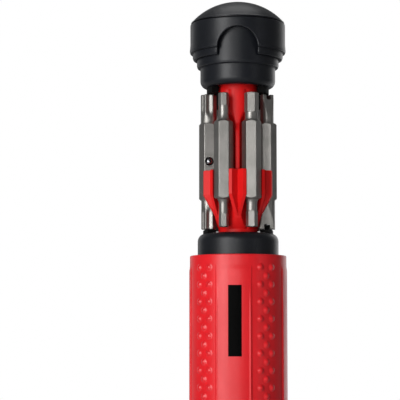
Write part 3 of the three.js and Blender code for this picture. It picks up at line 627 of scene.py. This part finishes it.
sweep = np.arccos(1 - (CORE_RADIUS - STEM_RADIUS) / TRUMPET_ROUND)
curl = np.linspace(0, sweep, 14)
RIM_BOTTOM = TRUMPET_TOP - 3.4
curl_height = RIM_BOTTOM - TRUMPET_ROUND * np.sin(sweep)
trumpet = arc(STEM_RADIUS + TRUMPET_ROUND, curl_height, TRUMPET_ROUND, np.pi - curl)
stem = np.vstack([
    [(0.01, RING_TOP - 3.0), (6.0, RING_TOP - 3.0), (6.0, RING_TOP + 0.1), (7.2, RING_TOP + 0.1),
     (CORE_RADIUS, RING_TOP + 0.25), (CORE_RADIUS, CLIP_BASE - 0.2), (7.1, CLIP_BASE),
     (STEM_RADIUS, CLIP_BASE + 0.3)],
    trumpet, [(CORE_RADIUS, RIM_BOTTOM + 0.2), (CORE_RADIUS, TRUMPET_TOP), (5.0, TRUMPET_TOP), (5.0, CARRIER_TOP),
              (0.01, CARRIER_TOP)],
])


def clip_root():
    """The solid root of the clips. At an angle a from a pocket's middle, the pocket's V floor lies at
    7.04 / (cos a - tan 30 sin a), and the cone below the clips limits it."""
    angle = np.radians(np.linspace(-180, 180, 240, endpoint=False))[None]
    away = np.abs((angle - np.radians(bit_turns)[:, None] + np.pi) % (2 * np.pi) - np.pi).min(0)
    floor = np.minimum(7.04 / (np.cos(away) - np.tan(np.pi / 6) * np.sin(away)), 9.6)[None]
    height = np.array([CLIP_BASE - 0.5, *np.linspace(CLIP_BASE, CLIP_BASE + 5, 11), CLIP_TOP - 0.02])[:, None]
    cone = CORE_RADIUS + (height - CLIP_BASE) * (CLIP_RADIUS - CORE_RADIUS) / (CLIP_BOTTOM - CLIP_BASE)
    return closed_grid(around(np.minimum(floor, cone), angle, height))


rib_shells = [moved(rib_shell(), np.radians(turn)) for turn in clip_turns]
print("ribs:", len(rib_shells))

# %% Clips
def clip_shell(gap):
    """A clip from the right half of its section at each height. Its wall follows the bit's pocket: across is outwards
    times sin(gap), less the pocket's half-width, over cos(gap). The groove is as wide as its depth times its spread,
    less what a flat lip needs, and its depth runs out at a share of the cone."""
    height = np.concatenate([[CLIP_TOP, CLIP_TOP - 0.25], np.linspace(CLIP_TOP - 0.8, CLIP_BOTTOM + 0.4, 5),
                             np.linspace(CLIP_BOTTOM, CLIP_BASE + 0.1, 14)])[:, None]
    fall = np.clip((CLIP_BOTTOM - height) / (CLIP_BOTTOM - CLIP_BASE), 0, 1)
    inset = np.zeros_like(height)
    inset[0] = 0.25
    reach = CLIP_RADIUS + fall * (CORE_RADIUS - CLIP_RADIUS) - inset

    def wall(outwards):
        return np.maximum((outwards * np.sin(gap) - POCKET_HALF) / np.cos(gap), 0.12) - 0.4 * inset

    brow = np.minimum(0.55, 0.3 * (reach - 6.4))
    edge_at = wall(reach - brow)
    land = np.maximum(wall(reach) - LIP_WIDTH, 0.06)
    groove = GROOVE_DEPTH * np.maximum(1 - fall / GROOVE_END, 0)
    valley = reach - groove
    lip = np.minimum(land, np.maximum(groove * GROOVE_SPREAD, 0.04))
    root = np.minimum(9.0, reach - brow - 0.3)
    root_wide = np.minimum(np.maximum(wall(root), 0.35), edge_at)
    across = np.concatenate([root_wide, root_wide, edge_at, 0.97 * wall(reach) - 0.2 * brow, lip, 0.35 * lip,
                             0 * lip + 0.02], 1)
    lip_out = np.sqrt(np.maximum(reach ** 2 - lip ** 2, 1)) - 0.06
    top_out = np.sqrt(np.maximum(reach ** 2 - across[:, 3:4] ** 2, 1)) - 0.15
    outwards = np.concatenate([root - 1.6, root, np.sqrt((reach - brow) ** 2 - edge_at ** 2 * 0.6), top_out, lip_out,
                               valley + 0.35 * (lip_out - valley), valley], 1)
    return mirrored_shell(across, outwards, height)


clip_shells = [moved(clip_shell(gap), np.radians(turn)) for turn, gap in zip(clip_turns, half_gaps)]
make_piece("bit_carrier_moulding", [turned(stem, 96), *rib_shells, clip_root(), *clip_shells], "cartridge",
           ["bit_carrier"], red_carrier, sharp=24)

# %% [markdown]
# ## The cap's core
# The head of the cartridge stays still while the palm cap turns on it. It is a turned solid: a skirt with a hollow
# underside for the trumpet, a wider rim, and a hub for the cap's screw. Two cheeks hang from the hollow, one on
# each side, and each has a post that reaches down between two bits. Their deep matt black is painted shade under the
# cap.

# %% Cap core
CORE_CEILING = CORE_UNDER + 2.4
SKIRT_RADIUS, RIM_RADIUS = 14.1, 15.4
CORE_RIM_BOTTOM = CORE_UNDER + 7.5
CORE_TOP = SHELL_TOP - 3.0
CHEEK_RADIUS, CHEEK_INNER, POST_INNER = 11.7, 9.0, 8.4
CHEEK_ROOT = CORE_CEILING + 0.3
# The cheeks' deep matt black is painted shade under the cap, beside the bits' upper ends.
shade_cheek_shells = both_sides(CHEEK_INNER, CHEEK_RADIUS, 55, 125, CHEEK_UNDER, CHEEK_ROOT)
shade_cheek_shells += both_sides(POST_INNER, CHEEK_RADIUS, POST_FROM, POST_TO, HIGH_POST_UNDER, CHEEK_ROOT)
make_piece("cap_core_shade_cheeks", shade_cheek_shells, "cartridge", ["cap_core"], painted_shade_black)
make_piece("cap_core_moulding", [turned(rounded([
    (0.02, CORE_CEILING + 4.1, 0.005), (5.1, CORE_CEILING + 4.1, 0.05), (5.1, CORE_CEILING, 0.05),
    (11.1, CORE_CEILING, 0.2), (11.1, CORE_UNDER, 0.35), (SKIRT_RADIUS, CORE_UNDER, 2.6),
    (SKIRT_RADIUS, CORE_RIM_BOTTOM, 0.1), (RIM_RADIUS - 0.25, CORE_RIM_BOTTOM, 0.5),
    (RIM_RADIUS, CORE_RIM_BOTTOM + 1.0, 0.5), (RIM_RADIUS, CORE_TOP, 0.2), (4.0, CORE_TOP, 0.1),
    (4.0, CORE_HUB_TOP, 0.1), (1.6, CORE_HUB_TOP, 0.05), (1.6, CORE_HUB_TOP - 8.0, 0.05),
    (0.02, CORE_HUB_TOP - 8.0, 0.005),
], 9), 160)], "cartridge", ["cap_core"], black_cap)

# %% [markdown]
# ## The palm cap's shell
# The shell has two arched thumb notches. A Boolean could cut them, but their rims carry a fine round that shows as
# a bright line, so the shell is gridded to fit. Below the arches' tops it is two half rings that end at the
# notches, with rows spaced by the arch's own angle. Above, it is a full ring. Near an arch the radius drops along
# a small quarter round.

# %% Shell surfaces
SHELL_BORE, DECK = 15.7, 2.7
STEP_RADIUS, WALL_BOTTOM = 17.0, CAP_SEAT + 2.5
NOTCH_RADIUS, NOTCH_ROUND = 7.6, 0.45
NOTCH_SPRING = CAP_SEAT + 10.0 - NOTCH_RADIUS
ARCH_TOP = NOTCH_SPRING + NOTCH_RADIUS
shell_outline = rounded([
    (SHELL_BORE, SHELL_TOP, 0.1), (SHELL_BORE, CAP_SEAT, 0.1), (STEP_RADIUS - 0.35, CAP_SEAT, 0.4),
    (STEP_RADIUS, CAP_SEAT + 0.9, 0.5), (STEP_RADIUS, WALL_BOTTOM, 0.06), (CAP_RADIUS - 0.05, WALL_BOTTOM, 0.3),
    (CAP_RADIUS + 0.2, WALL_BOTTOM + 0.8, 0.4), (CAP_RADIUS, WALL_BOTTOM + 3.0, 3.0), (CAP_RADIUS, SHELL_TOP, 0.35),
], 7)
wall_path = shell_outline[10:-7]


def arch_distance(across, height):
    """How far a point stands outside an arch: from its round top above the spring, from its sides below."""
    return np.where(height > NOTCH_SPRING, np.hypot(across, height - NOTCH_SPRING), np.abs(across)) - NOTCH_RADIUS


def rim_drop(distance):
    """Quarter round at a notch's rim: r - sqrt(r^2 - (r - d)^2) for a distance under the radius r."""
    left = np.clip(NOTCH_ROUND - distance, 0, NOTCH_ROUND)
    return NOTCH_ROUND - np.sqrt(NOTCH_ROUND ** 2 - left ** 2)


def half_ring(side):
    """One half of the shell below the arches' tops: its outside, its ends at the notches and its bore."""
    path_heights = wall_path[:, 1]
    bottom = np.unique(np.append(path_heights[path_heights < NOTCH_SPRING], NOTCH_SPRING - 0.02))
    arch = np.radians(90 * (1 - np.cos(np.linspace(0.12, np.pi / 2, 26))))
    height = np.concatenate([bottom, NOTCH_SPRING + NOTCH_RADIUS * np.sin(arch)])[:, None]
    outer = np.interp(height, path_heights, wall_path[:, 0])
    arched = np.sqrt(np.maximum(NOTCH_RADIUS ** 2 - (height - NOTCH_SPRING) ** 2, 0))
    opening = np.where(height > NOTCH_SPRING, arched, NOTCH_RADIUS)
    start = np.arcsin(np.minimum(opening / outer, 1))
    inner_start = np.arcsin(np.minimum(opening / SHELL_BORE, 1))
    near = start + np.array([0.0, 0.03, 0.08, 0.16, 0.26, 0.37, 0.48, 0.8, 1.4, 2.2])[None] / outer
    far = near[:, -1:] + np.linspace(0, 1, 19)[None, 1:] * (np.pi / 2 - near[:, -1:])
    angles = np.concatenate([near, far], 1)
    angles = np.concatenate([angles, np.pi - angles[:, -2::-1]], 1)
    across = outer * np.sin(angles)
    outer_radius = outer - rim_drop(arch_distance(np.abs(across), height))
    inner_angles = np.linspace(0, 1, 40)[None] * (np.pi - 2 * inner_start) + inner_start
    rows = [around(outer_radius, side * angles, height), around(SHELL_BORE, side * inner_angles[:, ::-1], height)]
    return closed_grid(np.concatenate(rows, 1))


def upper_ring():
    """The shell above the arches: wall, top edge, recess, deck and hub hole."""
    near = np.radians(np.concatenate([np.linspace(0, 12, 25), np.linspace(13, 45, 12), np.linspace(49, 90, 10)]))
    angles = np.concatenate([near, np.pi - near[-2::-1], np.pi + near[1:], 2 * np.pi - near[-2:0:-1]])
    climb = np.concatenate([ARCH_TOP + np.array([0, 0.04, 0.1, 0.18, 0.28, 0.38, 0.48, 0.8, 2.0]), [SHELL_TOP - 0.4]])
    wall = np.stack([np.interp(climb, wall_path[:, 1], wall_path[:, 0]), climb], 1)
    corner = arc(CAP_RADIUS - 0.35, SHELL_TOP - 0.35, 0.35, np.radians(np.linspace(15, 90, 6)))
    inside = [(16.5, SHELL_TOP), (16.4, SHELL_TOP - 0.1), (16.4, SHELL_TOP - 1.1), (16.3, SHELL_TOP - 1.2),
              (4.4, SHELL_TOP - 1.2), (4.3, SHELL_TOP - 1.3), (4.3, SHELL_TOP - 2.6), (4.4, SHELL_TOP - DECK),
              (SHELL_BORE - 0.1, SHELL_TOP - DECK), (SHELL_BORE, SHELL_TOP - DECK - 0.1), (SHELL_BORE, ARCH_TOP)]
    path = np.vstack([wall, corner, inside])
    radius = path[:, :1] * np.ones_like(angles)[None]
    across = np.abs(radius * np.sin(angles))
    drop = rim_drop(arch_distance(across, path[:, 1:]))
    drop[len(wall):] = 0
    return closed_grid(around(radius - drop, angles[None], path[:, 1:]), ring=True)


make_piece("palm_cap_shell", [half_ring(1), half_ring(-1), upper_ring()], "palm_cap", ["cap_shell"],
           black_cap, sharp=36)

# %% [markdown]
# ## The dome
# The hand presses on a smooth dome that snaps into the shell. It is part of a sphere, turned, with a hollow
# underneath for the screw's head and a fine seam where it meets the shell.

# %% Dome
DOME_RIM = SHELL_TOP + 0.3
RIM = CAP_RADIUS - 0.25
DOME_ROUND = 23.3
DOME_CENTRE = DOME_APEX - DOME_ROUND
dome_start = np.arcsin((RIM - 0.4) / DOME_ROUND)
dome_turns = np.linspace(dome_start, 0.004, 40)
dome_arc = arc(0, DOME_CENTRE, DOME_ROUND, np.pi / 2 - dome_turns)
dome_edge = np.array([(6.3, DOME_FOOT + 3.5), (6.3, DOME_FOOT), (16.2, DOME_FOOT), (16.3, DOME_FOOT + 0.1),
                      (16.3, DOME_RIM), (RIM - 0.1, DOME_RIM), (RIM - 0.02, DOME_RIM + 0.04), (RIM, DOME_RIM + 0.14),
                      (RIM - 0.1, dome_arc[0, 1] - 0.22)])
make_piece("palm_cap_dome", [turned(np.vstack([[(0.01, DOME_FOOT + 3.5)], dome_edge, dome_arc]), 160)],
           "palm_cap", ["cap_dome"], black_cap)

# %% [markdown]
# ## The bits
# Each bit is double-ended: a hexagonal body with chamfered ends, and a shaped drive at either end. All of them are
# a radius over angle and height. The hexagon's radius is cut by a cone for the chamfer, the star's valleys run out
# into its neck, and the hexagon keys flare down to the body. What isn't a radius, the pocket of the sprung ball
# and the notch of the spanner ends, is cut afterwards.

# %% Bit angles and body
BODY_HALF, BODY_ACROSS, CHAMFER = 14.4, 6.35, 0.55
END_LENGTH, HEX_END_LENGTH, NOTCH_DEPTH, HOLE_DEPTH = 11.0, 10.55, 2.0, 2.5
CORNER = BODY_ACROSS / np.sqrt(3)
sector = np.radians(np.concatenate([[0, 0.9, 1.8, 2.2], np.linspace(6, 54, 9), [57.8, 58.2, 59.1]]))
bit_angles = (sector[None] + np.arange(6)[:, None] * np.pi / 3).ravel()
BODY_SHAPE = hexagon_reach(bit_angles, BODY_ACROSS)


def body_rows():
    """The hexagon's radius, held under a cone of 45 degrees near both ends."""
    depth = np.concatenate([np.linspace(0, CHAMFER + 0.06, 9), [1.2, 4.0]])
    height = np.concatenate([-BODY_HALF + depth, [0.0], BODY_HALF - depth[::-1]])
    cone = CORNER - CHAMFER + (BODY_HALF - np.abs(height))
    return height, np.minimum(BODY_SHAPE[None], cone[:, None])


def pin_hole(top):
    """Rows of the hole in a tamper-proof end: over the rim, down and to the middle."""
    return np.array([top, top - 0.08, top - HOLE_DEPTH, top - HOLE_DEPTH]), np.array([0.85, 0.75, 0.75, 0.01])


# %% Drive ends
def star_end(angle, diameter, drive):
    """Six lobes: the radius less a valley depth times ((1 - cos 6a) / 2)^0.8, which fades out below the drive."""
    top, radius = END_LENGTH, diameter / 2
    height = np.concatenate([[0.0, 0.12], np.linspace(0.4, top - 0.5, 26), top - np.array([0.3, 0.16, 0.06, 0.0])])
    fade = smooth((height - (top - drive - 1.6)) / 3.2)
    valley = ((1 - np.cos(6 * angle)) / 2) ** 0.8
    tip = np.interp(height, [top - 0.5, top - 0.2, top], [0, 0.04, 0.22])
    foot = 0.1 * smooth(1 - height / 0.4)
    outer = radius + foot[:, None] - tip[:, None] - 0.28 * radius * fade[:, None] * valley[None]
    hole_height, hole = pin_hole(top)
    return np.concatenate([height, hole_height]), np.vstack([outer, hole[:, None] * np.ones_like(angle)])


def hex_end(angle, across, drive):
    """A round neck that flares along a quarter ellipse to the body, then a chamfered hexagon."""
    top, slim = HEX_END_LENGTH, across / 2 + 0.1
    neck = top - drive
    flare = min(2.6, neck / 2)
    reach = CORNER - CHAMFER - slim - 0.05
    turn = np.radians(np.linspace(0, 90, 8))
    flare_height, flare_radius = flare * (1 - np.cos(turn)), slim + reach * (1 - np.sin(turn))
    shape = hexagon_reach(angle, across)
    rise = np.linspace(0, 0.45, 5)
    shoulder = np.minimum(shape[None], slim - 0.06 + 1.2 * rise[:, None])
    tip = np.array([0.5, 0.3, 0.15, 0.0])
    crown = np.minimum(shape[None], across / np.sqrt(3) - 0.42 + 1.3 * tip[:, None])
    hole_height, hole = pin_hole(top)
    ones = np.ones_like(angle)[None]
    height = np.concatenate([flare_height, [neck - 0.08], neck + rise, [neck + drive / 2], top - tip, hole_height])
    rows = [flare_radius[:, None] * ones, slim * ones, shoulder, shape[None], crown, hole[:, None] * ones]
    return height, np.vstack(rows)


def spanner_end(angle, radius, turn):
    """A round end between two flats that close in towards the tip: the radius is the smaller of the round and the
    half thickness over the sine of the angle from the blade's width."""
    top, foot = END_LENGTH, 2.5
    height = np.concatenate([[0.0, 0.12, 0.4, 1.4], np.linspace(2.2, top - 0.3, 28), [top - 0.12, top, top]])
    half = np.interp(height, [foot, top], [radius, 1.1])
    tip = np.interp(height, [top - 0.3, top - 0.12, top], [0, 0.04, 0.16])
    foot_round = 0.1 * smooth(1 - height / 0.4)
    flat = half[:, None] / np.maximum(np.abs(np.sin(angle - np.radians(turn)))[None], 0.02)
    reach = np.minimum(radius, flat) + (foot_round - tip)[:, None]
    reach[-1] *= 0.01
    return height, reach


# %% [markdown]
# The two ends and the body are stacked into one grid. A lower end is an upper one turned over, so its angles run
# the other way.

# %% Bit shells and cutters
def bit_shell(upper, lower):
    """Rows from the lower tip to the upper tip. An end is a function and its two sizes."""
    body_height, body = body_rows()
    up_height, up = upper[0](bit_angles, *upper[1:])
    low_height, low = lower[0](-bit_angles, *lower[1:])
    height = np.concatenate([-BODY_HALF - low_height[::-1], body_height, BODY_HALF + up_height])
    radius = np.vstack([low[::-1], body, up])
    return closed_grid(around(radius, bit_angles + np.pi / 2, height[:, None]))


def ball_pocket():
    """A round hole along +Y with a slightly countersunk mouth."""
    path = np.array([(0.01, -2.0), (1.55, -2.0), (1.55, 2.95), (1.75, 3.4), (0.01, 3.4)])
    turn = even(40)
    return closed_grid(np.stack([path[:, :1] * np.cos(turn), np.broadcast_to(path[:, 1:], (5, 40)),
                                 path[:, :1] * np.sin(turn)], -1))


def end_notch(width, turn, direction):
    """The spanner's slot: a strip with a round root, pushed through the blade."""
    turn, root = np.radians(turn), BODY_HALF + END_LENGTH - NOTCH_DEPTH
    arch = np.radians(np.linspace(180, 360, 13))
    outline_x = np.concatenate([width / 2 * np.cos(arch), [width / 2, -width / 2]])
    outline_z = np.concatenate([root + width / 4 + width / 4 * np.sin(arch), [root + 4, root + 4]])
    through = np.array([-4.0, 4.0])[:, None]
    x = outline_x * np.cos(turn) - through * np.sin(turn)
    y = outline_x * np.sin(turn) + through * np.cos(turn)
    return closed_grid(np.stack([x, direction * y, np.broadcast_to(direction * outline_z, x.shape)], -1))


# %% [markdown]
# A table lists each bit's upper and lower end, and another the widths of the spanners' notches. The ball is a small
# sphere in the body's side. In the fitted bit the socket's wall presses it in.

# %% Make the bits
BIT_ENDS = {
    "star_bit_large": ((star_end, 6.0, 7.4), (star_end, 5.6, 7.4)),
    "hex_bit_small": ((hex_end, 3.45, 4.8), (hex_end, 3.2, 5.0)),
    "hex_bit_large": ((hex_end, 4.7, 7.4), (hex_end, 3.8, 6.0)),
    "spanner_bit_large": ((spanner_end, 2.5, 37), (spanner_end, 2.9, 0)),
    "star_bit_small": ((star_end, 4.4, 6.0), (star_end, 3.9, 6.0)),
    "spanner_bit_small": ((spanner_end, 2.3, 0), (spanner_end, 2.1, 0)),
    "fitted_star_bit": ((star_end, 5.0, 7.0), (star_end, 4.6, 7.0)),
}
NOTCH_WIDTHS = {"spanner_bit_large": (1.9, 2.3), "spanner_bit_small": (1.6, 1.3)}
BALL_RADIUS, BALL_SHOW, FITTED_PRESS, FITTED_RISE = 1.5, 0.5, 0.45, 6.0
BALL_OUT = BODY_ACROSS / 2 + BALL_SHOW - BALL_RADIUS
latitudes = np.radians(np.linspace(-88, 88, 15))[:, None]
unit_ball = around(np.cos(latitudes), even(24)[None] + np.pi / 2, np.sin(latitudes))
for name, ends in BIT_ENDS.items():
    if name in BIT_ANGLES:
        turn = np.radians(BIT_ANGLES[name] + BIT_TURN - 90)
        place = np.array([BIT_CIRCLE * np.cos(turn), BIT_CIRCLE * np.sin(turn), BIT_MIDDLE])
        pressed = 0.0
    else:
        turn, place, pressed = 0.0, np.array([0, 0, SHAFT_END + FITTED_RISE]), FITTED_PRESS
    turn += np.pi if name == "hex_bit_small" else 0.0
    cutters = [ball_pocket()]
    cutters += [end_notch(width, end[2], way) for end, width, way in zip(ends, NOTCH_WIDTHS.get(name, ()), (1, -1))]
    shell = moved(bit_shell(*ends), turn, place)
    make_piece(name + "_steel", [shell], name, [name], grey_bit, sharp=26,
               cutter=[moved(tool, turn, place) for tool in cutters])
    ball = closed_grid(BALL_RADIUS * unit_ball + np.array([0, BALL_OUT - pressed, 0]))
    make_piece(name + "_detent_ball", [moved(ball, turn, place)], name + "_ball", [name + "_ball"],
               bright_ball)

# %% [markdown]
# ## The hidden hardware
# The springs behind the balls, and the cap's screw and washer, sit out of sight. Their CAD solids already have the
# right shape, so they stay and only take the polished finish.

# %% Finish the hidden solids
hidden = [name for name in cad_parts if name.endswith("_spring") or name in ("cap_washer", "cap_pivot_screw")]
for name in hidden:
    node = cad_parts[name]
    node.data.materials.clear()
    node.data.materials.append(bright_ball)
print("polished CAD nodes:", len(hidden))

# %% [markdown]
# ## A printed bar on the front panel
# The front panel carries a plain black printed bar. Ink has no thickness worth modelling, so the bar is a mask in
# the grip's material: the angle from the front times the radius says how far round a point is, and its height says
# how far up. Where both are inside the bar, the colour turns to ink.

# %% Printed bar
def add_bar(material, middle, half_width, low, high):
    """Mask of the bar, in millimetres: a sharp step at its sides times one at its ends."""
    tree = material.node_tree
    shader = tree.nodes["Principled BSDF"]
    split = tree.nodes.new("ShaderNodeSeparateXYZ")
    tree.links.new(tree.nodes.new("ShaderNodeTexCoord").outputs["Object"], split.inputs[0])
    x, y, z = split.outputs
    turn = add_math(tree, "ARCTAN2", x, add_math(tree, "MULTIPLY", y, -1.0))
    way_round = add_math(tree, "MULTIPLY", turn, GRIP_RADIUS * MM)
    aside = add_math(tree, "ABSOLUTE", add_math(tree, "SUBTRACT", way_round, middle * MM))
    above = add_math(tree, "ABSOLUTE", add_math(tree, "SUBTRACT", z, (low + high) / 2 * MM))
    soft = 0.00006
    masks = [add_range(tree, value, size * MM - soft, size * MM + soft, 1.0, 0.0)
             for value, size in ((aside, half_width), (above, (high - low) / 2))]
    mask = add_math(tree, "MULTIPLY", *masks)
    paint = shader.inputs["Base Color"]
    tree.links.new(mix_colour(tree, mask, paint.links[0].from_socket, (0.0006, 0.0006, 0.0006)), paint)
    tree.links.new(add_range(tree, mask, 0.0, 1.0, 0.4, 0.02), shader.inputs["Specular IOR Level"])


add_bar(red_grip, middle=-1.2, half_width=2.45, low=5.7, high=31.5)
print("bar added to", red_grip.name)

# %% [markdown]
# ## Floor, light and camera
# A product shot has a pale floor and one large soft lamp from the front left. A slim lamp beside the camera and a
# weak one from the front right open the shadows, two behind draw the rims, and one shines from above. The camera
# sees a white world. Mirror rays see it only weakly, and for all other rays the world is a faint fill.

# %% Floor and world
FLOOR_HALF = 2.0
FLOOR_HEIGHT = cad_box[0][2] - 0.0005
square = [(x * FLOOR_HALF, y * FLOOR_HALF, FLOOR_HEIGHT) for x, y in ((-1, -1), (1, -1), (1, 1), (-1, 1))]
floor_mesh = bpy.data.meshes.new("floor")
floor_mesh.from_pydata(square, [], [(0, 1, 2, 3)])
floor = bpy.data.objects.new("floor", floor_mesh)
scene.collection.objects.link(floor)
floor_paint = bpy.data.materials.new("pale floor")
floor_paint.use_nodes = True
floor_sockets = floor_paint.node_tree.nodes["Principled BSDF"].inputs
floor_sockets["Base Color"].default_value = (0.82, 0.82, 0.82, 1)
floor_sockets["Roughness"].default_value = 0.7
floor.data.materials.append(floor_paint)
print("floor at", round(FLOOR_HEIGHT, 4), "m")

world = bpy.data.worlds.new("studio")
scene.world = world
world.use_nodes = True
sky = world.node_tree
fill = sky.nodes["Background"]
fill.inputs["Color"].default_value = (0.9, 0.93, 1.0, 1)
fill.inputs["Strength"].default_value = 0.07
white = sky.nodes.new("ShaderNodeBackground")
white.inputs["Color"].default_value = (1, 1, 1, 1)
rays = sky.nodes.new("ShaderNodeLightPath").outputs
mirror = add_math(sky, "MULTIPLY", rays["Is Glossy Ray"], 0.14)
choose = sky.nodes.new("ShaderNodeMixShader")
sky.links.new(add_math(sky, "MAXIMUM", rays["Is Camera Ray"], mirror), choose.inputs[0])
sky.links.new(fill.outputs[0], choose.inputs[1])
sky.links.new(white.outputs[0], choose.inputs[2])
sky.links.new(choose.outputs[0], sky.nodes["World Output"].inputs["Surface"])

# %% Lamps and camera
def look_at(thing, target):
    """Turns a lamp or a camera so that its -Z axis points at a target."""
    thing.rotation_euler = (Vector(target) - thing.location).to_track_quat("-Z", "Y").to_euler()


LAMP_AIM = (0, 0, 0.05)
LAMPS = {  # place, width and height in metres, and power in watts
    "key from front left": ((-0.58, -0.8, 0.22), 0.42, 0.8, 8.2),
    "beside the camera": ((-0.1, -0.99, 0.05), 0.1, 0.4, 1.5),
    "front right": ((0.8, -0.6, 0.0), 0.12, 0.8, 0.5),
    "left rim": ((-0.55, 0.78, 0.1), 0.4, 0.9, 0.6),
    "right rim": ((0.5, 0.82, 0.1), 0.5, 0.9, 2.0),
    "top light": ((0.0, 0.3, 0.95), 0.5, 0.4, 1.5),
}
for name, (place, width, height, watts) in LAMPS.items():
    lamp = bpy.data.objects.new(name, bpy.data.lights.new(name, "AREA"))
    lamp.data.shape = "RECTANGLE"
    lamp.data.size, lamp.data.size_y = width, height
    lamp.data.energy = watts
    lamp.location = place
    look_at(lamp, LAMP_AIM)
    scene.collection.objects.link(lamp)

camera = bpy.data.objects.new("camera", bpy.data.cameras.new("camera"))
scene.collection.objects.link(camera)
camera.data.sensor_width = 36
camera.data.lens = 144.6
camera.location = (0, -0.6, 0.0119)
look_at(camera, (-0.01425, 0, 0.0639))
scene.camera = camera
scene.view_settings.view_transform = "Standard"
print("lamps:", len(LAMPS), "lens:", camera.data.lens)
